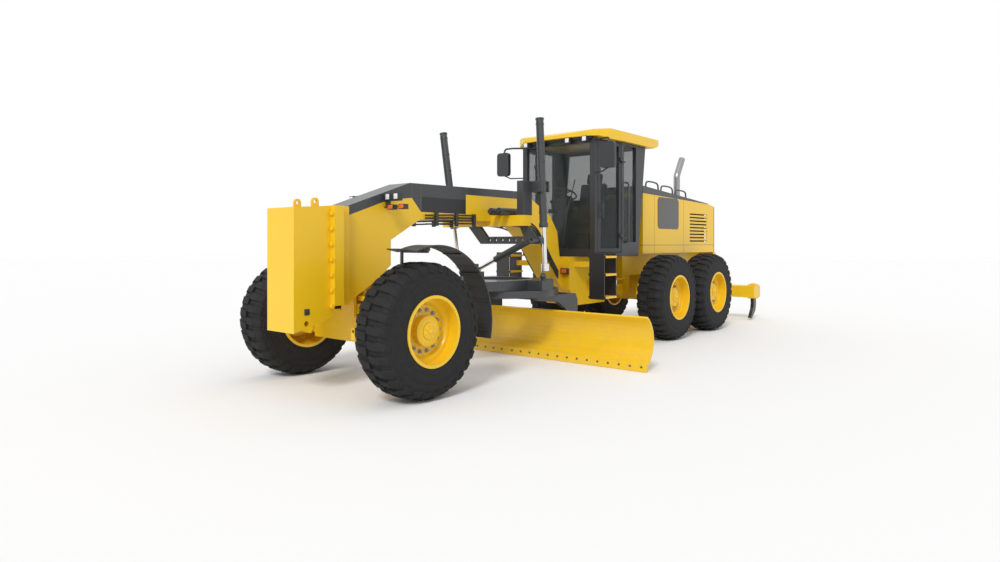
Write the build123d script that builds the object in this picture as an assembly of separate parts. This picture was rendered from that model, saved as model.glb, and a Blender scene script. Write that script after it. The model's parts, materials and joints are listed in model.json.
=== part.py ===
from build123d import *
from math import sin, cos, pi, radians, degrees, atan2, hypot
import os

# A motor grader: a long front frame that carries the blade and the cab, hinged behind the cab to a
# rear frame that carries the engine, the tandem wheels and the ripper.
# Millimetres. +X is forward, +Y is the machine's left, +Z is up, and the ground is Z = 0.
# X places are measured from the front axle line. The whole machine is moved along X when it is
# written, so that the origin lies on the ground under the middle of its length.

# ---------------------------------------------------------------- driving sizes
WHEELBASE = 6160            # front axle line to the middle of the tandem
TANDEM_PITCH = 1540         # between the two axles of a tandem
TRACK = 2080                # between the middles of the left and right tyres
REACH_FRONT = 890           # front face of the push block, ahead of the front axle
REACH_REAR = 9250           # rearmost point of the ripper, behind the front axle

RUN_GAP = 6                 # between pieces that move past each other
SEAT_GAP = 0.3              # between pieces that are fitted together on different bodies
PIN_PLAY = 0.5              # round a pin or rod in its hole, on the radius

MID_X = (REACH_FRONT - REACH_REAR) / 2
TANDEM_X = -WHEELBASE
AXLES_X = {"front": 0, "middle": TANDEM_X + TANDEM_PITCH / 2, "rear": TANDEM_X - TANDEM_PITCH / 2}
WHEEL_Y = TRACK / 2
SIDES = {"left": 1, "right": -1}

nodes = {}


# ---------------------------------------------------------------- shape helpers
def block(x, y, z):
    """A box between two X, two Y and two Z places."""
    (x0, x1), (y0, y1), (z0, z1) = sorted(x), sorted(y), sorted(z)
    return Pos((x0 + x1) / 2, (y0 + y1) / 2, (z0 + z1) / 2) * Box(x1 - x0, y1 - y0, z1 - z0)


def across(outline, y0, y1):
    """A side outline of (x, z) points, thick from y0 to y1."""
    low, high = sorted((y0, y1))
    face = make_face(Polyline(*[(x, low, z) for x, z in outline], close=True))
    return extrude(face, amount=high - low, dir=(0, 1, 0))


def upward(outline, z0, z1):
    """A plan outline of (x, y) points, thick from z0 to z1."""
    face = make_face(Polyline(*[(x, y, z0) for x, y in outline], close=True))
    return extrude(face, amount=z1 - z0, dir=(0, 0, 1))


def along(outline, x0, x1):
    """A cross outline of (y, z) points, long from x0 to x1."""
    low, high = sorted((x0, x1))
    face = make_face(Polyline(*[(low, y, z) for y, z in outline], close=True))
    return extrude(face, amount=high - low, dir=(1, 0, 0))


def bar(start, end, radius, bore=0):
    """A round bar or tube between two points."""
    a, b = Vector(*start), Vector(*end)
    plane = Plane(origin=a, z_dir=(b - a))
    length = (b - a).length
    solid = plane * Pos(0, 0, length / 2) * Cylinder(radius, length)
    if bore:
        solid -= plane * Pos(0, 0, length / 2) * Cylinder(bore, length)
    return solid


def pipe(points, radius, bend):
    """A bent round tube through points, with every corner rounded to one bend radius."""
    route = FilletPolyline(*points, radius=bend) if len(points) > 2 else Line(*points)
    section = Plane(origin=route @ 0, z_dir=route % 0) * Circle(radius)
    return sweep(section, path=route)


def mirrored(solid):
    """The same piece on the other side of the machine."""
    return mirror(solid, about=Plane.XZ)


def side(solid, name):
    return solid if name == "left" else mirrored(solid)


def post(x, y, z, radius):
    """An upright round piece between two Z places."""
    return Pos(x, y, (z[0] + z[1]) / 2) * Cylinder(radius, abs(z[1] - z[0]))


def arc_points(cx, cz, radius, start, end, count):
    return [(cx + radius * cos(radians(start + (end - start) * k / count)),
             cz + radius * sin(radians(start + (end - start) * k / count))) for k in range(count + 1)]


def together(pieces):
    """Solids that stay apart in one node."""
    solids = [s for p in pieces for s in p.solids()]
    return Compound(children=solids)


# ---------------------------------------------------------------- wheels
TYRE_RADIUS = 674
TYRE_WIDTH = 445
LUG_COUNT = 26
LUG_DEPTH = 26
LUG_SHARE = 0.56            # part of each pitch that the lug's tip takes
SHOULDER = 70               # width of the rounded shoulder on each side
SIDEWALL_RADIUS = 560       # where the shoulder meets the flat of the sidewall
RIM_RADIUS = 338            # seat of the tyre on the rim
FLANGE_RADIUS = 352
RIM_INSET = 22              # width of the rim's flange, inside the tyre's width
RIM_WALL = 16
TREAD_INNER_Y = WHEEL_Y - TYRE_WIDTH / 2 + 0.5
DISC_PLACE = 95             # outer face of the wheel disc, outward of the tyre's middle
DISC_WALL = 26
DISH_RADIUS = 250
HUB_RADIUS = 150
HUB_LENGTH = 110


def polygon(radius, count, turn=0.0):
    return [(radius * cos(turn + 2 * pi * k / count), radius * sin(turn + 2 * pi * k / count))
            for k in range(count)]


def lug_outline():
    """The tread seen from the side: flat lug tips that lie on the rolling radius."""
    points = []
    pitch = 2 * pi / LUG_COUNT
    half = pitch * LUG_SHARE / 2
    foot = pitch * (LUG_SHARE + 0.12) / 2
    tip = TYRE_RADIUS / cos(half)
    for k in range(LUG_COUNT):
        a = -pi / 2 + k * pitch
        for turn, radius in ((-foot, TYRE_RADIUS - LUG_DEPTH), (-half, tip), (half, tip),
                             (foot, TYRE_RADIUS - LUG_DEPTH)):
            points.append((radius * cos(a + turn), radius * sin(a + turn)))
    return points


def tyre(x, y):
    """A lugged tyre with flat facets, bored for its rim."""
    half = TYRE_WIDTH / 2
    tread = across(lug_outline(), -half + SHOULDER, half - SHOULDER)
    turn = -pi / 2 - pi / LUG_COUNT
    body = None
    for out in (1, -1):
        wide = make_face(Polyline(*[(px, out * (half - SHOULDER), pz) for px, pz in
                                    polygon(TYRE_RADIUS - LUG_DEPTH, LUG_COUNT, turn)], close=True))
        slim = make_face(Polyline(*[(px, out * half, pz) for px, pz in
                                    polygon(SIDEWALL_RADIUS, LUG_COUNT, turn)], close=True))
        piece = loft([wide, slim], ruled=True)
        tread = tread + piece
    for radius, reach in ((RIM_RADIUS, half + 1), (FLANGE_RADIUS, -half + RIM_INSET)):
        hole = polygon((radius + SEAT_GAP) / cos(pi / LUG_COUNT), LUG_COUNT, turn)
        tread -= across(hole, -half - 1, reach)
        tread -= across(hole, -reach, half + 1)
    return Pos(x, y, TYRE_RADIUS) * tread


def rim(x, y, out):
    """A one-piece rim with a dished disc and a hub, turned about the wheel's axis."""
    half = TYRE_WIDTH / 2 - 3
    seat = TYRE_WIDTH / 2 - RIM_INSET - SEAT_GAP
    inner = RIM_RADIUS - RIM_WALL
    profile = [(inner, -half), (FLANGE_RADIUS, -half), (FLANGE_RADIUS, -seat - SEAT_GAP * 2), (RIM_RADIUS, -seat - SEAT_GAP * 2),
               (RIM_RADIUS, seat + SEAT_GAP * 2), (FLANGE_RADIUS, seat + SEAT_GAP * 2), (FLANGE_RADIUS, half), (inner, half),
               (inner, DISC_PLACE), (DISH_RADIUS + 30, DISC_PLACE), (DISH_RADIUS, DISC_PLACE - 45),
               (HUB_RADIUS, DISC_PLACE - 45), (HUB_RADIUS, DISC_PLACE + 30), (HUB_RADIUS - 40, DISC_PLACE + 45),
               (0, DISC_PLACE + 45), (0, DISC_PLACE - 45 - HUB_LENGTH), (HUB_RADIUS - 20, DISC_PLACE - 45 - HUB_LENGTH),
               (HUB_RADIUS - 20, DISC_PLACE - 45 - DISC_WALL), (DISH_RADIUS - 6, DISC_PLACE - 45 - DISC_WALL),
               (DISH_RADIUS + 24, DISC_PLACE - DISC_WALL), (inner, DISC_PLACE - DISC_WALL)]
    face = make_face(Polyline(*[(r, out * w, 0) for r, w in profile], close=True))
    return Pos(x, y, TYRE_RADIUS) * revolve(face, axis=Axis((0, 0, 0), (0, 1, 0)))


for axle, axle_x in AXLES_X.items():
    for name, s in SIDES.items():
        nodes[f"tyre_{axle}_{name}"] = tyre(axle_x, s * WHEEL_Y)
        nodes[f"rim_{axle}_{name}"] = rim(axle_x, s * WHEEL_Y, s)

# ---------------------------------------------------------------- front axle, wheel lean and steering
LEAN_PIVOT = (0, WHEEL_Y - 320, 580)    # pin between the axle beam and the lean bracket
LEAN_TOP = (0, LEAN_PIVOT[1], 940)      # pin between the lean bracket and the lean bar
LEAN_PIN_RADIUS = 32
BOSS_RADIUS = 60
KINGPIN_Y = WHEEL_Y - 160
KINGPIN_Z = (500, 850)
KINGPIN_RADIUS = 30
BEAM_HALF = 42                      # half the thickness of the axle beam, fore and aft
CHEEK_WALL = 14
LUG_WALL = 40
ARM_REACH = 140                     # steering arms, from the kingpin to the ball
ARM_Z = (552, 580)
BALL_Z = 612                        # rod ends, above their arms
NOSE_PIN_Z = 800                    # pin that hangs the axle from the frame
NOSE_PIN_RADIUS = 45

# the beam: an arch between the two lean pins, hung from the frame by one pin along X
beam_end = LEAN_PIVOT[1] - 65
beam = along([(-beam_end, 470), (beam_end, 470), (beam_end, 690), (300, 800), (-300, 800), (-beam_end, 690)], -BEAM_HALF, BEAM_HALF)
beam += block((-BEAM_HALF, BEAM_HALF), (-110, 110), (700, 880))
beam -= bar((-200, 0, NOSE_PIN_Z), (200, 0, NOSE_PIN_Z), NOSE_PIN_RADIUS + PIN_PLAY)
for s in SIDES.values():
    pin_y = s * LEAN_PIVOT[1]
    beam += block((-BEAM_HALF, BEAM_HALF), (s * (beam_end - 55), pin_y), (LEAN_PIVOT[2] - BOSS_RADIUS, LEAN_PIVOT[2] + BOSS_RADIUS))
    beam += bar((-BEAM_HALF, pin_y, LEAN_PIVOT[2]), (BEAM_HALF, pin_y, LEAN_PIVOT[2]), BOSS_RADIUS)
    beam -= bar((-200, pin_y, LEAN_PIVOT[2]), (200, pin_y, LEAN_PIVOT[2]), LEAN_PIN_RADIUS + PIN_PLAY)

# the lean bracket: two cheeks astride the beam's end, open at the height of the steering arms
cheek_in = BEAM_HALF + RUN_GAP
cheek_out = cheek_in + CHEEK_WALL
window_top = ARM_Z[1] + 30
cheek_y = (LEAN_PIVOT[1] - 20, KINGPIN_Y - 52)
window_y = KINGPIN_Y - 100
LEAN_BAR_HALF = 14
LEAN_LUG = (LEAN_BAR_HALF + RUN_GAP, LEAN_BAR_HALF + RUN_GAP + 14)
LEAN_BOSS = 36
TOP_PIN_RADIUS = 20
bracket = bar((-cheek_out, *LEAN_PIVOT[1:]), (cheek_out, *LEAN_PIVOT[1:]), LEAN_PIN_RADIUS)
for s in (1, -1):
    bracket += along([(cheek_y[0], KINGPIN_Z[0]), (cheek_y[1], KINGPIN_Z[0]), (cheek_y[1], ARM_Z[0] - 12), (window_y, ARM_Z[0] - 6),
                      (window_y, window_top), (cheek_y[1], window_top), (cheek_y[1], KINGPIN_Z[1]), (cheek_y[0], KINGPIN_Z[1])],
                     s * cheek_in, s * cheek_out)
    bracket += bar((s * cheek_in, *LEAN_PIVOT[1:]), (s * cheek_out, *LEAN_PIVOT[1:]), BOSS_RADIUS)
    # a pair of slim lugs on top of the bracket takes the lean bar between them
    bracket += along([(LEAN_TOP[1] - LEAN_BOSS, KINGPIN_Z[1] - 30), (LEAN_TOP[1] + 50, KINGPIN_Z[1] - 30),
                      (LEAN_TOP[1] + LEAN_BOSS, LEAN_TOP[2]), (LEAN_TOP[1] - LEAN_BOSS, LEAN_TOP[2])], s * LEAN_LUG[0], s * LEAN_LUG[1])
    bracket += bar((s * LEAN_LUG[0], *LEAN_TOP[1:]), (s * LEAN_LUG[1], *LEAN_TOP[1:]), LEAN_BOSS)
bracket += block((-cheek_out, cheek_out), (cheek_y[1] - 28, cheek_y[1]), (window_top, KINGPIN_Z[1]))
bracket += block((-cheek_out, cheek_out), (cheek_y[0], cheek_y[1]), (KINGPIN_Z[1] - LUG_WALL, KINGPIN_Z[1]))
for z0, z1 in ((KINGPIN_Z[0], KINGPIN_Z[0] + LUG_WALL), (KINGPIN_Z[1] - LUG_WALL, KINGPIN_Z[1])):
    bracket += block((-60, 60), (cheek_y[1] - 28, KINGPIN_Y), (z0, z1))
    bracket += post(0, KINGPIN_Y, (z0, z1), 60)
bracket -= post(0, KINGPIN_Y, (400, 950), KINGPIN_RADIUS + PIN_PLAY)
bracket += bar((-LEAN_LUG[0], *LEAN_TOP[1:]), (LEAN_LUG[0], *LEAN_TOP[1:]), TOP_PIN_RADIUS)
for name in SIDES:
    nodes[f"lean_bracket_{name}"] = side(bracket, name)

# the knuckle: a kingpin and sleeve between the lugs, the spindle, and the steering arms
knuckle_z = (KINGPIN_Z[0] + LUG_WALL + RUN_GAP, KINGPIN_Z[1] - LUG_WALL - RUN_GAP)
SLEEVE_RADIUS = 36
SPINDLE_RADIUS = 75
hub_inner_y = WHEEL_Y + DISC_PLACE - 45 - HUB_LENGTH
knuckle = post(0, KINGPIN_Y, knuckle_z, SLEEVE_RADIUS)
knuckle += post(0, KINGPIN_Y, (KINGPIN_Z[0] - 15, KINGPIN_Z[1] + 30), KINGPIN_RADIUS)
knuckle += block((-62, 62), (KINGPIN_Y + 26, hub_inner_y - RUN_GAP), knuckle_z)
knuckle += bar((0, KINGPIN_Y, TYRE_RADIUS), (0, hub_inner_y - SEAT_GAP, TYRE_RADIUS), SPINDLE_RADIUS) - \
    block((-90, 90), (KINGPIN_Y - 90, KINGPIN_Y + 26), (500, 850))


def steering_arm(reach):
    """An arm from the kingpin to a boss under the rod's end."""
    return block((0, reach), (KINGPIN_Y - 17, KINGPIN_Y + 17), ARM_Z) + post(reach, KINGPIN_Y, ARM_Z, 28)


knuckle += steering_arm(-ARM_REACH)
nodes["knuckle_left"] = knuckle + steering_arm(ARM_REACH)
nodes["knuckle_right"] = side(knuckle, "right")

# the lean bar keeps both brackets parallel
bar_x = (-LEAN_BAR_HALF, LEAN_BAR_HALF)
lean_bar = block(bar_x, (-LEAN_TOP[1], LEAN_TOP[1]), (LEAN_TOP[2] - 26, LEAN_TOP[2] + 26))
for s in SIDES.values():
    lean_bar += bar((bar_x[0], s * LEAN_TOP[1], LEAN_TOP[2]), (bar_x[1], s * LEAN_TOP[1], LEAN_TOP[2]), LEAN_BOSS)
    lean_bar -= bar((bar_x[0] - 5, s * LEAN_TOP[1], LEAN_TOP[2]), (bar_x[1] + 5, s * LEAN_TOP[1], LEAN_TOP[2]), TOP_PIN_RADIUS + PIN_PLAY)
nodes["lean_bar"] = lean_bar

# the tie rod links the rear arms; its left end turns on the arm first and then tips with the lean
TIE_JOINT_Y = KINGPIN_Y - 54
TIE_BALL_RADIUS = 23
ROD_BALL_RADIUS = 18
nodes["tie_rod_end"] = Pos(-ARM_REACH, KINGPIN_Y, BALL_Z) * Sphere(24) + \
    bar((-ARM_REACH, KINGPIN_Y, BALL_Z), (-ARM_REACH, TIE_JOINT_Y + TIE_BALL_RADIUS + SEAT_GAP, BALL_Z), 14) + \
    post(-ARM_REACH, KINGPIN_Y, (ARM_Z[1] + SEAT_GAP, BALL_Z), 12)
nodes["tie_rod"] = Pos(-ARM_REACH, TIE_JOINT_Y, BALL_Z) * Sphere(TIE_BALL_RADIUS) + \
    bar((-ARM_REACH, TIE_JOINT_Y, BALL_Z), (-ARM_REACH, -KINGPIN_Y, BALL_Z), 17) + \
    Pos(-ARM_REACH, -KINGPIN_Y, BALL_Z) * Sphere(ROD_BALL_RADIUS)

# the left steering cylinder lies ahead of the beam
STEER_BASE_Y = 250
STEER_BARREL_RADIUS = 40
STEER_ROD_RADIUS = 16
STEER_GLAND_Y = 562
barrel = bar((ARM_REACH, STEER_BASE_Y, BALL_Z), (ARM_REACH, STEER_GLAND_Y, BALL_Z), STEER_BARREL_RADIUS)
barrel -= bar((ARM_REACH, STEER_BASE_Y + 50, BALL_Z), (ARM_REACH, STEER_GLAND_Y + 5, BALL_Z), STEER_ROD_RADIUS + PIN_PLAY)
barrel += bar((ARM_REACH - 48, STEER_BASE_Y, BALL_Z), (ARM_REACH + 48, STEER_BASE_Y, BALL_Z), 20)
nodes["steer_barrel"] = barrel
nodes["steer_rod"] = bar((ARM_REACH, STEER_BASE_Y + 165, BALL_Z), (ARM_REACH, KINGPIN_Y, BALL_Z), STEER_ROD_RADIUS) + \
    Pos(ARM_REACH, KINGPIN_Y, BALL_Z) * Sphere(ROD_BALL_RADIUS)
for x0, x1 in ((BEAM_HALF - 2, ARM_REACH - STEER_BARREL_RADIUS - RUN_GAP), (ARM_REACH + STEER_BARREL_RADIUS + RUN_GAP, ARM_REACH + 62)):
    ear = block((x0, x1), (STEER_BASE_Y - 34, STEER_BASE_Y + 34), (BALL_Z - 70, BALL_Z + 34))
    beam += ear - bar((x0 - 5, STEER_BASE_Y, BALL_Z), (x1 + 5, STEER_BASE_Y, BALL_Z), 20 + PIN_PLAY)
beam += block((BEAM_HALF - 2, ARM_REACH + 62), (STEER_BASE_Y - 34, STEER_BASE_Y + 34), (BALL_Z - 90, BALL_Z - 60))
nodes["front_axle"] = beam

# front fenders ride with the knuckles
FENDER_RADIUS = 812
FENDER_WALL = 12
FENDER_Y = (WHEEL_Y - 140, WHEEL_Y + 140)
FENDER_CENTRE = (-125, 700)
FENDER_TIP = (300, 1478)
FENDER_ARC = (68, 194)              # degrees above the horizon ahead, over the top to the rear
FENDER_POST_Y = KINGPIN_Y - 100
POST_RADIUS = 17
outer_arc = arc_points(*FENDER_CENTRE, FENDER_RADIUS, *FENDER_ARC, 12)
inner_arc = arc_points(*FENDER_CENTRE, FENDER_RADIUS - FENDER_WALL, *FENDER_ARC[::-1], 12)
fender = across([FENDER_TIP] + outer_arc + inner_arc + [(FENDER_TIP[0], FENDER_TIP[1] - FENDER_WALL)], *FENDER_Y)
post_top = 1450
fender += pipe([(0, KINGPIN_Y, KINGPIN_Z[1] + 30 + SEAT_GAP), (0, KINGPIN_Y, 930), (0, FENDER_POST_Y, 930),
                (0, FENDER_POST_Y, post_top), (0, FENDER_Y[1] - 20, post_top)], POST_RADIUS, 24)
fender += block((-40, 40), (FENDER_Y[0], FENDER_Y[1] - 30), (post_top + 5, FENDER_CENTRE[1] + 797))
for name in SIDES:
    nodes[f"fender_{name}"] = side(fender, name)

# ---------------------------------------------------------------- front frame
NECK_HALF = 180
CHASSIS_HALF = 300
NOSE_X = 250
HITCH_X = -4950
HITCH_PIN_RADIUS = 60
EAR_Z = ((620, 680), (1180, 1240))  # lower and upper ears of the hitch
EAR_RADIUS = 125
CHASSIS_END = -4690
FLOOR_Z = 1330

neck = [(NOSE_X, 885), (NOSE_X, 1908), (-654, 2219), (-2750, 2240), (-3380, 1926), (-3560, 1700), (-3620, FLOOR_Z),
        (-4100, FLOOR_Z), (-4100, 600), (-3920, 650), (-3620, 912), (-3140, 1491), (-2700, 1820), (-809, 1805),
        (-372, 1565), (-372, 1287), (-174, 1129)]
frame = across(neck, -NECK_HALF, NECK_HALF)
frame += across([(-3700, FLOOR_Z), (CHASSIS_END, FLOOR_Z), (CHASSIS_END, 600), (-3960, 600), (-3700, 840)], -CHASSIS_HALF, CHASSIS_HALF)
for z in EAR_Z:
    frame += block((HITCH_X, CHASSIS_END + 10), (-EAR_RADIUS, EAR_RADIUS), z) + post(HITCH_X, 0, z, EAR_RADIUS)
frame += post(HITCH_X, 0, (EAR_Z[0][0] - 30, EAR_Z[1][1] + 30), HITCH_PIN_RADIUS)

# the crossmember that carries the blade lift arms
LIFT_X = -2330
CROSS_X = (-2245, -2065)
CROSS_Y = 700
CROSS_Z = (1750, 1885)
frame += block(CROSS_X, (-CROSS_Y, CROSS_Y), CROSS_Z)

# ears under the nose for the axle's pin, and for the drawbar's ball
ear_in = BEAM_HALF + RUN_GAP
for s in (1, -1):
    frame += block((s * ear_in, s * (ear_in + 34)), (-110, 110), (740, 1160))
frame += bar((-ear_in - 34, 0, NOSE_PIN_Z), (ear_in + 34, 0, NOSE_PIN_Z), NOSE_PIN_RADIUS)
BALL = (-480, 0, 1050)
BALL_RADIUS = 62
BALL_PIN_RADIUS = 28
frame += block((-372, -200), (-110, 110), (985, 1300))
for s in (1, -1):
    ear = block((BALL[0], -370), (s * 70, s * 100), (BALL[2] - 45, BALL[2] + 45))
    ear += bar((BALL[0], s * 70, BALL[2]), (BALL[0], s * 100, BALL[2]), 45)
    frame += ear - bar((BALL[0], s * 60, BALL[2]), (BALL[0], s * 110, BALL[2]), BALL_PIN_RADIUS + PIN_PLAY)

# articulation cylinders lie beside the frame, ahead of the hitch
ART_Y = 360
ART_Z = 905
ART_BASE_X = -4200
ART_BARREL_RADIUS = 44
ART_ROD_RADIUS = 24
for name, s in SIDES.items():
    y = s * ART_Y
    frame += bar((ART_BASE_X, y, ART_Z), (CHASSIS_END, y, ART_Z), ART_BARREL_RADIUS)
    frame += block((ART_BASE_X + 20, ART_BASE_X - 70), (s * (CHASSIS_HALF - 10), y), (ART_Z - 44, ART_Z + 44))
    frame -= bar((ART_BASE_X - 70, y, ART_Z), (CHASSIS_END - 5, y, ART_Z), ART_ROD_RADIUS + PIN_PLAY)
    nodes[f"articulation_rod_{name}"] = bar((CHASSIS_END + 190, y, ART_Z), (HITCH_X, y, ART_Z), ART_ROD_RADIUS) + \
        post(HITCH_X, y, (ART_Z - 30, ART_Z + 30), 38)
nodes["front_frame"] = frame

# push block bolted to the nose
PUSH_HALF = 235
push = across([(REACH_FRONT, 655), (REACH_FRONT, 1880), (440, 1906), (440, 780)], -PUSH_HALF, PUSH_HALF)
push += block((465, 350), (-300, 300), (900, 1910))
push += block((350, NOSE_X + SEAT_GAP), (-250, 250), (900, 1910))
PUSH_BORE = (745, 740)              # X and Z of the cross bore
PUSH_BORE_RADIUS = 28
push -= bar((PUSH_BORE[0], -PUSH_HALF - 5, PUSH_BORE[1]), (PUSH_BORE[0], PUSH_HALF + 5, PUSH_BORE[1]), PUSH_BORE_RADIUS)
EYE_Y = 155
EYE_HOLE = (600, 1945)
EYE_HOLE_RADIUS = 20
EYE_WALL = 28
for s in SIDES.values():
    eye = across([(560, 1880), (560, 1960), (580, 1985), (620, 1985), (640, 1960), (640, 1880)], s * EYE_Y - EYE_WALL / 2, s * EYE_Y + EYE_WALL / 2)
    push += eye - bar((EYE_HOLE[0], s * EYE_Y - 30, EYE_HOLE[1]), (EYE_HOLE[0], s * EYE_Y + 30, EYE_HOLE[1]), EYE_HOLE_RADIUS)
nodes["push_block"] = push

# ---------------------------------------------------------------- blade lift arms and their link bar
TRUNNION_Y = 815
TRUNNION_Z = 2250
TRUNNION_RADIUS = 22
YOKE_IN = 62                        # from the barrel's axis to each cheek
YOKE_OUT = 82
LINK_X = (-2240, -2190)
SHIFT_TOP = (-2010, 856, 1562)      # upper pin of the circle shift cylinder
lift_arms = []
for s in SIDES.values():
    arm = block((LIFT_X - YOKE_OUT, LIFT_X + YOKE_OUT), (s * 655, s * 700), (TRUNNION_Z - 70, TRUNNION_Z + 70))
    for out in (1, -1):
        cheek = block((LIFT_X + out * YOKE_IN, LIFT_X + out * YOKE_OUT), (s * 655, s * 870), (TRUNNION_Z - 70, TRUNNION_Z + 70))
        arm += cheek
    arm -= bar((LIFT_X - 100, s * TRUNNION_Y, TRUNNION_Z), (LIFT_X + 100, s * TRUNNION_Y, TRUNNION_Z), TRUNNION_RADIUS + PIN_PLAY)
    arm += block((LIFT_X + YOKE_IN, CROSS_X[1] - 20), (s * 600, s * 700), (CROSS_Z[1] + SEAT_GAP, TRUNNION_Z + 70))
    lift_arms.append(arm)
hang = CROSS_Z[0] - SEAT_GAP
LINK_Z = (SHIFT_TOP[2] - 42, SHIFT_TOP[2] + 55)
link = block(LINK_X, (-80, SHIFT_TOP[1]), LINK_Z)
link += along([(-330, hang), (-120, hang), (0, LINK_Z[1]), (0, LINK_Z[0]), (-110, LINK_Z[0])], *LINK_X)
link += along([(560, hang), (700, hang), (800, LINK_Z[1] - 5), (660, LINK_Z[0] + 10)], *LINK_X)
link += bar((LINK_X[0], *SHIFT_TOP[1:]), (LINK_X[1], *SHIFT_TOP[1:]), SHIFT_TOP[2] - LINK_Z[0])
link += bar((LINK_X[1], *SHIFT_TOP[1:]), (SHIFT_TOP[0] - 67, *SHIFT_TOP[1:]), 20)
for y in range(40, 700, 110):
    link -= bar((LINK_X[0] - 5, y, SHIFT_TOP[2] + 8), (LINK_X[1] + 5, y, SHIFT_TOP[2] + 8), 26)
accumulators = []
for y in (-470, -340, 340, 470):
    z = CROSS_Z[1] + SEAT_GAP + 46
    accumulators.append(bar((-1880, y, z), (-2240, y, z), 46) + bar((-1850, y, z), (-1890, y, z), 28))
nodes["lift_arms"] = together(lift_arms + [link] + accumulators)

# ---------------------------------------------------------------- drawbar, circle and blade
CIRCLE_X = -2350
CIRCLE_Y = 117                      # the circle's centre is swung this far to the left
DRAW_LENGTH = hypot(CIRCLE_X - BALL[0], CIRCLE_Y)
REST_SWING = degrees(atan2(CIRCLE_Y, BALL[0] - CIRCLE_X))
DRAW_Z = (940, 1060)
SIDE_BALL_OUT = 750
SIDE_BALL_Z = 1125
CIRCLE_RADIUS = 765
CIRCLE_BORE = 640
CIRCLE_Z = (845, DRAW_Z[0] - RUN_GAP)
SHIFT_EYE_HALF = 30
SHIFT_LOW = (-2010, 0, 1185)        # lower pin of the circle shift cylinder, on the drawbar's middle line
WEAR_RING = (680, 735)              # wear strip under the drawbar that the circle slides on

# the drawbar is drawn straight back from its ball and then swung to the left
apex = -DRAW_LENGTH + 560
draw = upward([(-80, -50), (-80, 50), (-230, 75), (apex, 560), (apex, -560), (-230, -75)], *DRAW_Z)
draw -= upward([(-480, -60), (apex + 130, -360), (apex + 130, 360), (-480, 60)], DRAW_Z[0] - 5, DRAW_Z[1] + 5)
draw += block((apex + 5, -DRAW_LENGTH - 420), (-560, 560), DRAW_Z)
draw += block((-DRAW_LENGTH - 110, -DRAW_LENGTH + 110), (-SIDE_BALL_OUT - 60, SIDE_BALL_OUT + 60), DRAW_Z)
draw -= post(-DRAW_LENGTH, 0, (DRAW_Z[0] - 5, DRAW_Z[1] + 5), 400)
side_ball_x = -DRAW_LENGTH + (LIFT_X - CIRCLE_X)
for s in SIDES.values():
    draw += post(side_ball_x, s * SIDE_BALL_OUT, (DRAW_Z[1] - 5, SIDE_BALL_Z), 26)
    draw += Pos(side_ball_x, s * SIDE_BALL_OUT, SIDE_BALL_Z - 10) * Sphere(42)
# plates above and below the ball, and the riser that joins them
plate_z = (BALL[2] + 66, BALL[2] + 92)
draw += block((-140, -80), (-50, 50), (2 * BALL[2] - plate_z[1], plate_z[1]))
for z in (plate_z, (2 * BALL[2] - plate_z[1], 2 * BALL[2] - plate_z[0])):
    draw += block((-85, 0), (-50, 50), z) + post(0, 0, z, 50)
    draw -= post(0, 0, (z[0] - 5, z[1] + 5), BALL_PIN_RADIUS + PIN_PLAY)
# circle drive gearbox and motor, ahead of the circle's middle
draw += post(-DRAW_LENGTH + 520, 0, (DRAW_Z[1] - 5, 1165), 140) + post(-DRAW_LENGTH + 520, 0, (1160, 1265), 70)
draw += Pos(-DRAW_LENGTH, 0, 0) * ((post(0, 0, (CIRCLE_Z[1] + SEAT_GAP, DRAW_Z[0] + 5), WEAR_RING[1]) -
                                    post(0, 0, (CIRCLE_Z[1], DRAW_Z[0] + 10), WEAR_RING[0])) & block((-560, 500), (-550, 550), (CIRCLE_Z[0], DRAW_Z[1])))
# guide shoes inside the circle
for turn in (45, 135, 225, 315):
    draw += Pos(-DRAW_LENGTH + 590 * cos(radians(turn)), 590 * sin(radians(turn)), (850 + DRAW_Z[0] + 5) / 2) * \
        Rot(0, 0, turn) * Box(80, 120, DRAW_Z[0] + 5 - 850)
draw = Pos(BALL[0], 0, 0) * Rot(0, 0, -REST_SWING) * draw
# lug for the circle shift rod
draw += block((SHIFT_LOW[0] + SHIFT_EYE_HALF + SEAT_GAP, SHIFT_LOW[0] + SHIFT_EYE_HALF + 26), (SHIFT_LOW[1] - 45, SHIFT_LOW[1] + 45), (DRAW_Z[1] - 5, SHIFT_LOW[2] + 40))
nodes["drawbar"] = draw

cross = Pos(*BALL) * Sphere(BALL_RADIUS)
cross += bar((BALL[0], -100, BALL[2]), (BALL[0], 100, BALL[2]), BALL_PIN_RADIUS)
cross += post(BALL[0], 0, (2 * BALL[2] - plate_z[1], plate_z[1]), BALL_PIN_RADIUS)
nodes["drawbar_ball"] = cross

circle = post(0, 0, CIRCLE_Z, CIRCLE_RADIUS) - post(0, 0, CIRCLE_Z, CIRCLE_BORE)
ARM_Y = (640, 700)
TIP_PIVOT = (-640, 300)             # blade tip pivot, X from the circle's centre and Z
TIP_PIN_RADIUS = 32
arm_outline = [(150, 850), (120, 800), (-330, 760), (-500, 660), (-585, 520), (-585, 230), (-700, 230), (-790, 480),
               (-790, 760), (-740, 850)]
for s in SIDES.values():
    circle += across(arm_outline, s * ARM_Y[0], s * ARM_Y[1])
circle += block((-785, -735), (-ARM_Y[0] - 5, ARM_Y[0] + 5), (720, 850))
circle -= bar((TIP_PIVOT[0], -900, TIP_PIVOT[1]), (TIP_PIVOT[0], 900, TIP_PIVOT[1]), TIP_PIN_RADIUS + PIN_PLAY)
nodes["circle"] = Pos(CIRCLE_X, CIRCLE_Y, 0) * circle

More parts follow.
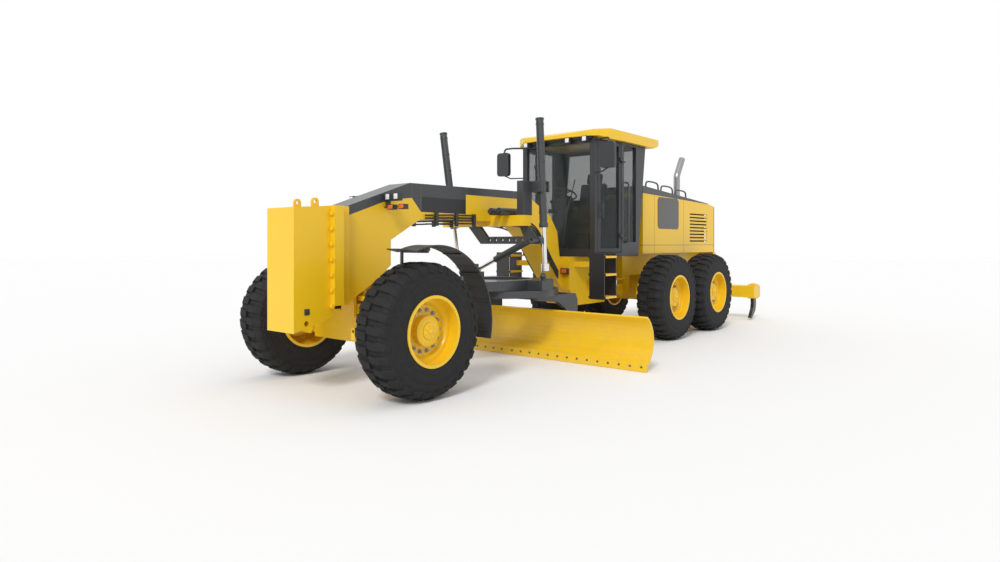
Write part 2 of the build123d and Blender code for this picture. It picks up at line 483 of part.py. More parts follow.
# blade: a curved moldboard on two rails, and its bolted cutting edges
BLADE_LENGTH = 4267
BLADE_TOP = 640
BLADE_FOOT = 90                     # lower edge of the moldboard
BLADE_WALL = 22
BLADE_X = -2610                     # cutting edge
BLADE_SAG = 150
EDGE_WALL = 19
EDGE_LIFT = 4                       # the edge clears the ground
ARC_STEPS = 12
half_chord = (BLADE_TOP - BLADE_FOOT) / 2
blade_radius = (half_chord ** 2 + BLADE_SAG ** 2) / (2 * BLADE_SAG)
blade_centre = (BLADE_X - EDGE_WALL - BLADE_SAG + blade_radius, BLADE_FOOT + half_chord)
half_angle = degrees(atan2(half_chord, blade_radius - BLADE_SAG))
board = across(arc_points(*blade_centre, blade_radius, 180 - half_angle, 180 + half_angle, ARC_STEPS) +
               arc_points(*blade_centre, blade_radius + BLADE_WALL, 180 + half_angle, 180 - half_angle, ARC_STEPS),
               -BLADE_LENGTH / 2, BLADE_LENGTH / 2)
RAIL_X = -2890
RAIL_HALF = 20
WEB_HALF = 11
RAIL_REACH = 1900
RAILS = {150: -2712, 470: -2773}    # height of each rail, and where its web enters the moldboard
for z, web_x in RAILS.items():
    board += block((RAIL_X - RAIL_HALF, RAIL_X + RAIL_HALF), (-RAIL_REACH, RAIL_REACH), (z - RAIL_HALF, z + RAIL_HALF))
    board += block((RAIL_X, web_x), (-RAIL_REACH, RAIL_REACH), (z - WEB_HALF, z + WEB_HALF))
SIDE_CYL = (-2828, 560)             # X and Z of the side shift cylinder
SIDE_BRACKET_Y = 1350
SIDE_ROD_RADIUS = 22
board += block((SIDE_CYL[0] - 40, -2755), (SIDE_BRACKET_Y, SIDE_BRACKET_Y + 40), (500, 600))
board += bar((SIDE_CYL[0], -470, SIDE_CYL[1]), (SIDE_CYL[0], SIDE_BRACKET_Y + 5, SIDE_CYL[1]), SIDE_ROD_RADIUS)
nodes["moldboard"] = board

edge_back = arc_points(*blade_centre, blade_radius - SEAT_GAP, 180 + half_angle, 180 + half_angle * 2 / 3, 2)
edge_front = arc_points(*blade_centre, blade_radius - EDGE_WALL, 180 + half_angle * 2 / 3, 180 + half_angle, 2)
edge_outline = [(BLADE_X, EDGE_LIFT), (BLADE_X - EDGE_WALL, EDGE_LIFT)] + edge_back + edge_front
nodes["cutting_edges"] = together([across(edge_outline, s * 0.5, s * BLADE_LENGTH / 2) for s in SIDES.values()])

# the carrier hangs between the circle's arms, grips both rails and holds the side shift cylinder
pivot_x = CIRCLE_X + TIP_PIVOT[0]
carrier = bar((pivot_x, CIRCLE_Y - ARM_Y[1] - 12, TIP_PIVOT[1]), (pivot_x, CIRCLE_Y + ARM_Y[1] + 12, TIP_PIVOT[1]), TIP_PIN_RADIUS)
jaw = [(-2820, 110), (-2820, 500), (-2790, 520), (-2790, 600), (-2870, 600), (-2960, 500), (-3050, 400), (-3050, 230), (-2960, 110)]
for s in SIDES.values():
    carrier += across(jaw, CIRCLE_Y + s * 560, CIRCLE_Y + s * (ARM_Y[0] - RUN_GAP))
for z in RAILS:
    carrier -= block((RAIL_X - RAIL_HALF - 2, RAIL_X + RAIL_HALF + 2), (-900, 900), (z - RAIL_HALF - 2, z + RAIL_HALF + 2))
    carrier -= block((RAIL_X, -2780), (-900, 900), (z - WEB_HALF - 3, z + WEB_HALF + 3))
carrier += bar((SIDE_CYL[0], -1000, SIDE_CYL[1]), (SIDE_CYL[0], 200, SIDE_CYL[1]), 45)
carrier -= bar((SIDE_CYL[0], -985, SIDE_CYL[1]), (SIDE_CYL[0], 900, SIDE_CYL[1]), SIDE_ROD_RADIUS + PIN_PLAY)
nodes["blade_carrier"] = carrier


def on_line(start, end):
    """Places along a line, by their distance from its start, and the line's length."""
    a, b = Vector(*start), Vector(*end)
    way = (b - a).normalized()
    return (lambda d: tuple(a + way * d)), (b - a).length


# blade lift cylinders, hung by trunnions
LIFT_ABOVE = 880
LIFT_BELOW = 520
LIFT_BARREL_RADIUS = 50
LIFT_ROD_RADIUS = 28
for name, s in SIDES.items():
    at, reach = on_line((LIFT_X, s * TRUNNION_Y, TRUNNION_Z), (LIFT_X, CIRCLE_Y + s * SIDE_BALL_OUT, SIDE_BALL_Z))
    barrel = bar(at(-LIFT_ABOVE), at(LIFT_BELOW), LIFT_BARREL_RADIUS)
    barrel += bar((LIFT_X - YOKE_IN + 2, s * TRUNNION_Y, TRUNNION_Z), (LIFT_X + YOKE_IN - 2, s * TRUNNION_Y, TRUNNION_Z), 40)
    barrel += bar((LIFT_X - YOKE_OUT, s * TRUNNION_Y, TRUNNION_Z), (LIFT_X + YOKE_OUT, s * TRUNNION_Y, TRUNNION_Z), TRUNNION_RADIUS)
    barrel -= bar(at(-LIFT_ABOVE + 40), at(LIFT_BELOW + 5), LIFT_ROD_RADIUS + PIN_PLAY)
    nodes[f"lift_barrel_{name}"] = barrel
    nodes[f"lift_rod_{name}"] = bar(at(-150), at(reach - 70), LIFT_ROD_RADIUS) + bar(at(reach - 142), at(reach - 52), 52)

# circle shift cylinder, from the link bar's left end down to the drawbar
SHIFT_BARREL = 600
SHIFT_ROD_RADIUS = 24
at, reach = on_line(SHIFT_TOP, SHIFT_LOW)
barrel = bar(at(0), at(SHIFT_BARREL), 42) + \
    bar((SHIFT_TOP[0] - 42, *SHIFT_TOP[1:]), (SHIFT_TOP[0] + 30, *SHIFT_TOP[1:]), 38)
barrel -= bar(at(-50), at(SHIFT_BARREL + 5), SHIFT_ROD_RADIUS + PIN_PLAY)
nodes["shift_barrel"] = barrel
nodes["shift_rod"] = bar(at(240), at(reach), SHIFT_ROD_RADIUS) + \
    bar((SHIFT_LOW[0] - SHIFT_EYE_HALF, *SHIFT_LOW[1:]), (SHIFT_LOW[0] + SHIFT_EYE_HALF - 0.6, *SHIFT_LOW[1:]), 36)

# ---------------------------------------------------------------- cab
CAB_WALL = 60
CAB_Z = (FLOOR_Z + SEAT_GAP, 3075)
CAB_FRONT = (-3820, 665)            # outer front corner
CAB_MIDDLE = (-4360, 800)           # outer corner where the door is hinged
CAB_REAR = (-5110, -4870)           # rear wall at the roof and at the floor
cab_side = [(CAB_FRONT[0], CAB_Z[0]), (CAB_FRONT[0], CAB_Z[1]), (CAB_REAR[0], CAB_Z[1]), (CAB_REAR[1], CAB_Z[0])]


def cab_plan(inset):
    """The cab's plan, drawn in by a distance from every wall."""
    front, reach = CAB_FRONT[0] - inset, CAB_MIDDLE[1] - inset
    slant = (CAB_MIDDLE[1] - CAB_FRONT[1]) / (CAB_FRONT[0] - CAB_MIDDLE[0])
    drop = inset * hypot(1, slant)
    near_y = CAB_FRONT[1] + slant * inset - drop
    turn_x = CAB_FRONT[0] - (CAB_MIDDLE[1] - inset - CAB_FRONT[1] + drop) / slant
    return [(front, near_y), (turn_x, reach), (-5200, reach), (-5200, -reach), (turn_x, -reach), (front, -near_y)]


cab = across(cab_side, -900, 900) & upward(cab_plan(0), *CAB_Z)
room = across([(CAB_FRONT[0], CAB_Z[0] + 50), (CAB_FRONT[0], CAB_Z[1] + 5), (CAB_REAR[0] + CAB_WALL, CAB_Z[1] + 5), (CAB_REAR[1] + CAB_WALL, CAB_Z[0] + 50)], -900, 900) \
    & upward(cab_plan(CAB_WALL), CAB_Z[0] + 50, CAB_Z[1] + 5)
cab -= room

GLASS_Z = (1450, 3015)
GLASS = 8
door_angle = degrees(atan2(CAB_MIDDLE[1] - CAB_FRONT[1], CAB_FRONT[0] - CAB_MIDDLE[0]))
door_run = hypot(CAB_MIDDLE[0] - CAB_FRONT[0], CAB_MIDDLE[1] - CAB_FRONT[1])
DOOR = (RUN_GAP, door_run - 62)     # along the wall, from the hinge forward
DOOR_Z = (1400, 3035)
DOOR_FRAME = 55


def in_door(solid):
    """From the door's own frame, with X forward from the hinge and Y outward, to the left wall."""
    return Pos(*CAB_MIDDLE, 0) * Rot(0, 0, -door_angle) * solid


opening = in_door(block((0, DOOR[1] + RUN_GAP), (-CAB_WALL - 30, 30), (DOOR_Z[0] - RUN_GAP, DOOR_Z[1] + RUN_GAP)))
panes = []
front_y = CAB_FRONT[1] - 85
cab -= block((CAB_FRONT[0] - CAB_WALL - 5, CAB_FRONT[0] + 5), (-front_y, front_y), GLASS_Z)
panes.append(block((CAB_FRONT[0] - 34, CAB_FRONT[0] - 34 + GLASS), (-front_y + SEAT_GAP, front_y - SEAT_GAP), (GLASS_Z[0] + SEAT_GAP, GLASS_Z[1] - SEAT_GAP)))
rear_z = (2250, 3015)
cab -= block((-5200, -4850), (-640, 640), rear_z)
lean_back = (CAB_REAR[0] - CAB_REAR[1]) / (CAB_Z[1] - CAB_Z[0])
rear_at = lambda z: CAB_REAR[1] + lean_back * (z - CAB_Z[0])
z0, z1 = rear_z[0] + SEAT_GAP, rear_z[1] - SEAT_GAP
panes.append(across([(rear_at(z0) + 24, z0), (rear_at(z0) + 24 + GLASS, z0), (rear_at(z1) + 24 + GLASS, z1), (rear_at(z1) + 24, z1)], -640 + SEAT_GAP, 640 - SEAT_GAP))
side_x = (CAB_MIDDLE[0] - 70, -4800)
side_z = (1550, 3015)
HINGE_OUT = 15                      # hinge pins stand out from the corner
HINGE_Z = (1620, 2760)
HINGE_PIN = 8
HINGE_LUG = 14
hinges = None
lugs = None
for z in HINGE_Z:
    bracket = block((-60, 0), (-5, HINGE_OUT + HINGE_LUG), (z - 16, z)) + post(0, HINGE_OUT, (z - 16, z), HINGE_LUG) + \
        post(0, HINGE_OUT, (z - 5, z + 60), HINGE_PIN)
    lug = post(0, HINGE_OUT, (z + SEAT_GAP, z + 56), HINGE_LUG) + block((0, 50), (-4, HINGE_OUT + 12), (z + SEAT_GAP, z + 56)) - \
        post(0, HINGE_OUT, (z - 5, z + 60), HINGE_PIN + PIN_PLAY) - block((-20, RUN_GAP), (-10, 0.5), (z - 5, z + 60))
    hinges = bracket if hinges is None else hinges + bracket
    lugs = lug if lugs is None else lugs + lug
for name, s in SIDES.items():
    cab -= side(opening, name)
    cab += side(in_door(hinges), name)
    cab -= block(side_x, (s * (CAB_MIDDLE[1] - CAB_WALL - 5), s * (CAB_MIDDLE[1] + 5)), side_z)
    panes.append(block((side_x[0] - SEAT_GAP, side_x[1] + SEAT_GAP), (s * (CAB_MIDDLE[1] - 34), s * (CAB_MIDDLE[1] - 34 + GLASS)), (side_z[0] + SEAT_GAP, side_z[1] - SEAT_GAP)))
MIRROR = (-3700, 960, 2785)         # middle of the left mirror
mirror_body = Pos(*MIRROR) * fillet(Box(60, 235, 370).edges().filter_by(Axis.X), 50)
mirror_arm = pipe([(CAB_FRONT[0] - 30, 645, 3035), (-3730, 800, 3035), (-3730, MIRROR[1], 3035), (-3710, MIRROR[1], 2960)], 14, 40)
mirror_stay = pipe([(CAB_FRONT[0] - 30, 645, 2560), (-3730, 850, 2560), (-3710, MIRROR[1], 2610)], 10, 30)
for name in SIDES:
    cab += side(mirror_body + mirror_arm + mirror_stay, name)
nodes["cab_frame"] = cab
nodes["cab_glass"] = together(panes)

door = block(DOOR, (-CAB_WALL, 0), DOOR_Z) + lugs
door_hole = (DOOR[0] + DOOR_FRAME, DOOR[1] - DOOR_FRAME)
door_hole_z = (DOOR_Z[0] + DOOR_FRAME, DOOR_Z[1] - DOOR_FRAME)
door -= block(door_hole, (-CAB_WALL - 5, 5), door_hole_z)
pane = block((door_hole[0] + SEAT_GAP, door_hole[1] - SEAT_GAP), (-34, -34 + GLASS), (door_hole_z[0] + SEAT_GAP, door_hole_z[1] - SEAT_GAP))
for name in SIDES:
    nodes[f"door_{name}"] = side(in_door(door), name)
    nodes[f"door_glass_{name}"] = side(in_door(pane), name)

ROOF_SKIRT = 3055                   # lower edge of the roof's sides
ROOF_FRONT_X = -3700
roof_half = [(ROOF_FRONT_X, 0), (ROOF_FRONT_X - 10, 300), (-3765, 620), (-3960, 840), (-4330, 875), (-5300, 865), (-5500, 830), (-5560, 0)]
roof_plan = roof_half + [(x, -y) for x, y in roof_half[-2:0:-1]]
roof_top = [(ROOF_FRONT_X, 3110), (ROOF_FRONT_X, 3150), (-3800, 3195), (-4700, 3250), (-5400, 3262), (-5560, 3235)]
roof = across([(ROOF_FRONT_X, 3100)] + roof_top + [(-5560, 3130), (-5300, ROOF_SKIRT), (-3960, ROOF_SKIRT), (-3860, 3100)], -900, 900) & upward(roof_plan, 3000, 3300)
roof &= along([(-900, 3000), (-900, 3190), (-700, 3240), (0, 3275), (700, 3240), (900, 3190), (900, 3000)], -5600, -3600)
roof -= upward(cab_plan(-6), 3000, CAB_Z[1] + SEAT_GAP) & block((-3600, -5180), (-900, 900), (3000, 3200))
nodes["cab_roof"] = roof

cab_floor = CAB_Z[0] + 50 + SEAT_GAP


def soft_block(x, y, z, radius):
    solid = block(x, y, z)
    return fillet(solid.edges(), radius)


seat = soft_block((-4300, -4790), (-250, 250), (1790, 1890), 30)
seat += Pos(-4800, 0, 2180) * Rot(0, -12, 0) * soft_block((-60, 60), (-240, 240), (-320, 330), 35)
seat += Pos(-4880, 0, 2580) * Rot(0, -12, 0) * soft_block((-45, 45), (-140, 140), (-90, 90), 28)
seat += block((-4380, -4740), (-200, 200), (1700, 1800)) + block((-4480, -4660), (-120, 120), (cab_floor, 1710))
for s in SIDES.values():
    seat += block((-4700, -4760), (s * 230, s * 300), (1850, 2110)) + soft_block((-4400, -4760), (s * 245, s * 315), (2090, 2140), 15)
nodes["seat"] = seat
console = across([(-3930, cab_floor), (-3960, 1900), (-3945, 2200), (-4060, 2260), (-4090, 2010), (-4080, cab_floor)], -100, 100)
consoles = [console + along([(-170, 2060), (170, 2060), (120, 2230), (-120, 2230)], -3955, -4050)]
for s in SIDES.values():
    pod = soft_block((-4180, -4480), (s * 345, s * 445), (2010, 2080), 20) + block((-4340, -4420), (s * 360, s * 430), (cab_floor, 2020))
    pod += bar((-4250, s * 395, 2075), (-4230, s * 395, 2190), 16) + Pos(-4228, s * 395, 2200) * Sphere(30)
    consoles.append(pod)
console = together(consoles)
nodes["console"] = console

# access steps hang beside the frame on both sides
STEP_X = (-3560, -3880)
STEP_Y = (720, 1000)
TREADS = (750, 1070, 1320)
ladders = []
for s in SIDES.values():
    ladder = None
    for x in STEP_X:
        plate = block((x - 8, x + 8), (s * 740, s * 985), (738, 1388))
        ladder = plate if ladder is None else ladder + plate
    for z in TREADS:
        ladder += block(STEP_X, (s * STEP_Y[0], s * STEP_Y[1]), (z, z + 30))
    ladder += block((STEP_X[1], STEP_X[1] + 60), (s * (CHASSIS_HALF + SEAT_GAP), s * 800), (1180, 1260))
    ladders.append(ladder)
nodes["steps"] = together(ladders)

# work lamps: on the gooseneck's top, under the roof's front edge and on the frame below the steps
ROOF_LAMP = 80
LAMP = 72
lamps = []
for y in (-540, -240, 240, 540):
    lamps.append(block((CAB_FRONT[0] + 95, CAB_FRONT[0] + 5), (y - ROOF_LAMP / 2, y + ROOF_LAMP / 2), (3100 - SEAT_GAP - ROOF_LAMP, 3100 - SEAT_GAP)) +
                 block((CAB_FRONT[0] + SEAT_GAP, CAB_FRONT[0] + 10), (y - 25, y + 25), (3035, 3070)))
for s in SIDES.values():
    arm = block((-325, -270), (s * (NECK_HALF + SEAT_GAP), s * 425), (1990, 2002)) + \
        block((-318, -278), (s * (NECK_HALF + SEAT_GAP), s * 500), (1918, 1930)) + \
        block((-318, -278), (s * 200, s * 240), (1925, 1995))
    for y in (250, 385):
        arm += block((-330, -262), (s * (y - LAMP / 2), s * (y + LAMP / 2)), (2000, 2000 + LAMP))
    for y in (290, 465):
        arm += block((-332, -268), (s * (y - 46), s * (y + 46)), (1896, 1950))
    lamps.append(arm)
    lamps.append(block((-3640, -3700 + SEAT_GAP), (s * (NECK_HALF + SEAT_GAP), s * 300), (1070, 1160)))
nodes["lamps"] = together(lamps)

# ---------------------------------------------------------------- rear frame
RAIL_Y = (250, 350)
DECK_Z = (1000, 1360)
HOOD_REAR = -8240
tongue_z = (EAR_Z[0][1] + RUN_GAP, EAR_Z[1][0] - RUN_GAP)
rear = block((HITCH_X, -5180), (-100, 100), tongue_z) + post(HITCH_X, 0, tongue_z, 100)
rear -= post(HITCH_X, 0, (400, 1400), HITCH_PIN_RADIUS + PIN_PLAY)
rear += block((-5160, -5400), (-RAIL_Y[1], RAIL_Y[1]), (686, DECK_Z[1]))
for s in SIDES.values():
    rear += block((-5390, HOOD_REAR), (s * RAIL_Y[0], s * RAIL_Y[1]), DECK_Z)
    for z in ((ART_Z - 60, ART_Z - 36), (ART_Z + 36, ART_Z + 60)):
        rear += block((-5170, HITCH_X), (s * (ART_Y - 45), s * (ART_Y + 45)), z) + post(HITCH_X, s * ART_Y, z, 45)
    rear += block((-5170, -5250), (s * (RAIL_Y[1] - 10), s * (ART_Y + 45)), (ART_Z - 60, ART_Z + 60))
HOUSING_X = (-5960, -6360)
rear += block(HOUSING_X, (-620 + SEAT_GAP, 620 - SEAT_GAP), (550, 950)) + block(HOUSING_X, (-RAIL_Y[1], RAIL_Y[1]), (940, 1010))
for x in (-6450, -7550, -8150):
    rear += block((x - 50, x + 50), (-RAIL_Y[1] + 10, RAIL_Y[1] - 10), (930, 1000 - SEAT_GAP))
    rear += block((x - 50, x + 50), (-RAIL_Y[1], -RAIL_Y[0]), (930, 1010)) + block((x - 50, x + 50), (RAIL_Y[0], RAIL_Y[1]), (930, 1010))
rear += block((HOOD_REAR + 10, -8350), (-620, 620), (750, DECK_Z[1]))
HOIST = (-8420, 950)                # ripper pivot, X and Z
HOIST_ARM_Y = (380, 440)
HOIST_TOP = (-8420, 1290)           # upper pin of the ripper cylinders
HOIST_CYL_Y = 200
for s in SIDES.values():
    for y0, y1 in ((344, 374), (446, 476)):
        rear += block((-8345, HOIST[0]), (s * y0, s * y1), (HOIST[1] - 55, HOIST[1] + 55))
        rear += bar((HOIST[0], s * y0, HOIST[1]), (HOIST[0], s * y1, HOIST[1]), 55)
    rear += bar((HOIST[0], s * 344, HOIST[1]), (HOIST[0], s * 476, HOIST[1]), 30)
    for y0, y1 in ((HOIST_CYL_Y - 68, HOIST_CYL_Y - 48), (HOIST_CYL_Y + 48, HOIST_CYL_Y + 68)):
        rear += block((-8345, HOIST_TOP[0] - 40), (s * y0, s * y1), (HOIST_TOP[1] - 60, HOIST_TOP[1] + 40))
    rear += bar((HOIST_TOP[0], s * (HOIST_CYL_Y - 68), HOIST_TOP[1]), (HOIST_TOP[0], s * (HOIST_CYL_Y + 68), HOIST_TOP[1]), 20)
nodes["rear_frame"] = rear

TANDEM_Y = (TREAD_INNER_Y - 198, TREAD_INNER_Y - 28)
TANDEM_CASE_Z = (500, 930)
cases = []
for s in SIDES.values():
    case = block((AXLES_X["middle"] + 40, AXLES_X["rear"] - 40), (s * TANDEM_Y[0], s * TANDEM_Y[1]), TANDEM_CASE_Z)
    for axle, out in (("middle", 40), ("rear", -40)):
        end_x, end_z = AXLES_X[axle] + out, (TANDEM_CASE_Z[0] + TANDEM_CASE_Z[1]) / 2
        case += bar((end_x, s * TANDEM_Y[0], end_z), (end_x, s * TANDEM_Y[1], end_z), end_z - TANDEM_CASE_Z[0])
        case += bar((AXLES_X[axle], s * (TANDEM_Y[1] - 5), TYRE_RADIUS), (AXLES_X[axle], s * (hub_inner_y - SEAT_GAP), TYRE_RADIUS), 90)
    cases.append(case)
nodes["tandem_cases"] = together(cases)

HOOD_WALL = 25
HOOD_FRONT = -5400
HOOD_Z = (DECK_Z[1] + SEAT_GAP, 2480, 2300, 2240)
hood_side = [(HOOD_FRONT, HOOD_Z[0]), (HOOD_FRONT, HOOD_Z[1]), (-7900, HOOD_Z[2]), (HOOD_REAR, HOOD_Z[3]), (HOOD_REAR, HOOD_Z[0])]
hood = across(hood_side, -700, 700) & upward([(HOOD_FRONT, 600), (HOOD_REAR, 640), (HOOD_REAR, -640), (HOOD_FRONT, -600)], 1300, 2500)
hood -= across([(HOOD_FRONT - HOOD_WALL, 1300), (HOOD_FRONT - HOOD_WALL, HOOD_Z[1] - HOOD_WALL), (-7900, HOOD_Z[2] - HOOD_WALL), (HOOD_REAR + HOOD_WALL, HOOD_Z[3] - HOOD_WALL), (HOOD_REAR + HOOD_WALL, 1300)], -700, 700) \
    & upward([(HOOD_FRONT, 600 - HOOD_WALL), (HOOD_REAR, 640 - HOOD_WALL), (HOOD_REAR, -640 + HOOD_WALL), (HOOD_FRONT, -600 + HOOD_WALL)], 1300, 2500)
# slits in the rear of each side panel, and the cooling grille at the back
for k in range(9):
    z = 1560 + 62 * k
    for s in SIDES.values():
        hood -= block((-7150, -7900), (s * 560, s * 680), (z, z + 26))
GRILLE = (500, 1480, 2140)          # half width, and lower and upper edges
hood -= block((HOOD_REAR - 5, HOOD_REAR + HOOD_WALL + 5), (-GRILLE[0], GRILLE[0]), GRILLE[1:])
for k in range(9):
    z = GRILLE[1] + 28 + 73 * k
    hood += block((HOOD_REAR + 4, HOOD_REAR + HOOD_WALL - 4), (-GRILLE[0] - 5, GRILLE[0] + 5), (z, z + 34))
nodes["hood"] = hood
nodes["engine"] = block((-6400, -7600), (-240, 240), (1000, 1900))
EXHAUST = (-7504, 200)
PIPE_RADIUS = 60
hood_slope = (HOOD_Z[1] - HOOD_Z[2]) / (HOOD_FRONT + 7900)
exhaust_foot = HOOD_Z[1] - hood_slope * (HOOD_FRONT - EXHAUST[0] - PIPE_RADIUS) + SEAT_GAP
EXHAUST_TIP = (EXHAUST[0] - 230, EXHAUST[1], 3170)
exhaust_path = [(*EXHAUST, exhaust_foot), (*EXHAUST, 2820), EXHAUST_TIP]
nodes["exhaust"] = pipe(exhaust_path, PIPE_RADIUS, 150)
bend_at, bend_reach = on_line(exhaust_path[1], EXHAUST_TIP)
nodes["exhaust"] -= bar(bend_at(bend_reach - 180), bend_at(bend_reach + 20), PIPE_RADIUS - 5)

# ---------------------------------------------------------------- ripper
BEAM_X = (-8850, -9200)
BEAM_Z = (450, 680)
ripper = block(BEAM_X, (-1200, 1200), BEAM_Z)
for s in SIDES.values():
    arm = across([(HOIST[0] + 50, HOIST[1] + 50), (HOIST[0] - 60, HOIST[1] + 60), (BEAM_X[0] - 60, BEAM_Z[1]), (BEAM_X[0] - 60, BEAM_Z[0]), (BEAM_X[0] + 60, BEAM_Z[0]), (HOIST[0] + 50, HOIST[1] - 60)],
                 s * HOIST_ARM_Y[0], s * HOIST_ARM_Y[1])
    ripper += arm
    for y in (HOIST_CYL_Y - 62, HOIST_CYL_Y + 42):
        ripper += block((-9050, -8930), (s * y, s * (y + 20)), (BEAM_Z[1] - 5, 790))
ripper -= bar((HOIST[0], -600, HOIST[1]), (HOIST[0], 600, HOIST[1]), 30 + PIN_PLAY)
shank_outline = [(-9040, 720), (-9190, 720), (-9200, 300), (-9160, 170), (-8960, 30), (-8900, 40), (-9040, 230), (-9060, 320)]
SHANK_WALL = 62
for y in (-1090, -545, 0, 545, 1090):
    ripper += block((-9020, -9210), (y - 75, y + 75), (420, 705))
    ripper += across(shank_outline, y - SHANK_WALL / 2, y + SHANK_WALL / 2)
ripper += block((-9190, -REACH_REAR), (-60, 60), (520, 610))
nodes["ripper_frame"] = ripper

RIPPER_EYE = (-8990, 745)
barrels, rods = [], []
for s in SIDES.values():
    y = s * HOIST_CYL_Y
    at, reach = on_line((HOIST_TOP[0], y, HOIST_TOP[1]), (RIPPER_EYE[0], y, RIPPER_EYE[1]))
    barrel = bar(at(-30), at(450), 40) + bar((HOIST_TOP[0], y - 42, HOIST_TOP[1]), (HOIST_TOP[0], y + 42, HOIST_TOP[1]), 40)
    barrel -= bar(at(70), at(455), 22 + PIN_PLAY)
    barrel -= bar((HOIST_TOP[0], y - 50, HOIST_TOP[1]), (HOIST_TOP[0], y + 50, HOIST_TOP[1]), 20 + PIN_PLAY)
    barrels.append(barrel)
    rods.append(bar(at(260), at(reach), 22) + Pos(*at(reach)) * Sphere(33))
nodes["ripper_barrels"] = together(barrels)
nodes["ripper_rods"] = together(rods)

# ---------------------------------------------------------------- export, moved to the middle of the length
os.makedirs("parts", exist_ok=True)
for name, solid in nodes.items():
    export_step(Pos(-MID_X, 0, 0) * solid, f"parts/{name}.step")
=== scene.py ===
import json
from math import atan2, cos, pi, radians, sin

import bpy
from mathutils import Matrix, Vector


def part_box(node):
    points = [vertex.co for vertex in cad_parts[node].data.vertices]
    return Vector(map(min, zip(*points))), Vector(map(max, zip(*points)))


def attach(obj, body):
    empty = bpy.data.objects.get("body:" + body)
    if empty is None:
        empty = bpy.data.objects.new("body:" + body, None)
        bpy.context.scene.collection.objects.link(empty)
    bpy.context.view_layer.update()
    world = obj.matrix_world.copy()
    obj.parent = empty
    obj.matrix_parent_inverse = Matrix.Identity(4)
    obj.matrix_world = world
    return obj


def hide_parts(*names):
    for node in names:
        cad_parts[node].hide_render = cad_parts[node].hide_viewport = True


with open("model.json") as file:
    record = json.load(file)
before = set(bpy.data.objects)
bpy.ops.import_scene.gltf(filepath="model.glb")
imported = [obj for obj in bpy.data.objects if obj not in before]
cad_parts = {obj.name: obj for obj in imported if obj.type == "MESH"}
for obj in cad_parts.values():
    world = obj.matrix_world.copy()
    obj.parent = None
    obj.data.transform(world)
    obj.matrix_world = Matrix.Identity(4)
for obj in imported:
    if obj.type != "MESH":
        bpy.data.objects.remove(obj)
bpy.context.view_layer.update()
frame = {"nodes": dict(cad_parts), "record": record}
nodes = frame["nodes"]
joints = {joint["name"]: joint for joint in frame["record"]["behaviour"]["joints"]}
bpy.ops.object.select_all(action="DESELECT")

# ---------------------------------------------------------------- camera
# The machine is seen from ahead of its left front wheel, at a standing person's eye level,
# with a wide lens held level. The frame is shifted down a little to take in the ground.
CAMERA_PLACE = (8.713, 5.891, 1.526)
CAMERA_WAY = (-0.765, -0.644)
LENS_MM = 24.1
SENSOR_MM = 36
FRAME_SHIFT = -0.0375                   # of the frame's width, downwards
bpy.ops.object.camera_add(location=CAMERA_PLACE,
                          rotation=(pi / 2, 0, atan2(-CAMERA_WAY[0], CAMERA_WAY[1])))
camera = bpy.context.object
camera.data.lens = LENS_MM
camera.data.sensor_width = SENSOR_MM
camera.data.shift_y = FRAME_SHIFT
bpy.context.scene.camera = camera
bpy.context.scene.view_settings.view_transform = "Standard"

# ---------------------------------------------------------------- floor and light
# A pale studio floor under an even white sky, with one soft sun from ahead and above.
# The sky is white where the camera or a reflection sees it, and dimmer as a lamp.
SKY_LIGHT = 0.74
SUN_LIGHT = 1.5
SUN_FROM = (0.80, 0.35, 0.75)
SUN_WIDTH = 14                          # in degrees, for soft shadows
FLOOR_SIZE = 160
FLOOR_WHITE = (0.94, 0.94, 0.94, 1)
bpy.ops.mesh.primitive_plane_add(size=FLOOR_SIZE, location=(0, 0, 0))
floor = bpy.context.object
floor.name = "studio_floor"
floor_paint = bpy.data.materials.new("studio_floor")
floor_paint.use_nodes = True
floor_shader = floor_paint.node_tree.nodes["Principled BSDF"]
floor_shader.inputs["Base Color"].default_value = FLOOR_WHITE
floor_shader.inputs["Roughness"].default_value = 0.85
floor_shader.inputs["Specular IOR Level"].default_value = 0.1
floor.data.materials.append(floor_paint)

bpy.ops.object.light_add(type="SUN", rotation=Vector(SUN_FROM).to_track_quat("Z", "Y").to_euler())
sun = bpy.context.object
sun.data.energy = SUN_LIGHT
sun.data.angle = radians(SUN_WIDTH)

world = bpy.data.worlds.new("studio_sky")
bpy.context.scene.world = world
world.use_nodes = True
sky = world.node_tree
background = sky.nodes["Background"]
background.inputs["Color"].default_value = (1, 1, 1, 1)
rays = sky.nodes.new("ShaderNodeLightPath")
seen = rays.outputs["Is Camera Ray"]
for ray in ("Is Glossy Ray", "Is Transmission Ray"):
    either = sky.nodes.new("ShaderNodeMath")
    either.operation = "MAXIMUM"
    sky.links.new(seen, either.inputs[0])
    sky.links.new(rays.outputs[ray], either.inputs[1])
    seen = either.outputs[0]
strength = sky.nodes.new("ShaderNodeMapRange")
strength.inputs["To Min"].default_value = SKY_LIGHT
strength.inputs["To Max"].default_value = 1.0
sky.links.new(seen, strength.inputs["Value"])
sky.links.new(strength.outputs["Result"], background.inputs["Strength"])

# ---------------------------------------------------------------- painted steel frames
# The welded steel of the machine is sprayed golden yellow: the gooseneck, the push block, the
# axle, the tandem cases and the rear frame. The gooseneck has a dark grey band along its top
# and a plain black sign field on each side.


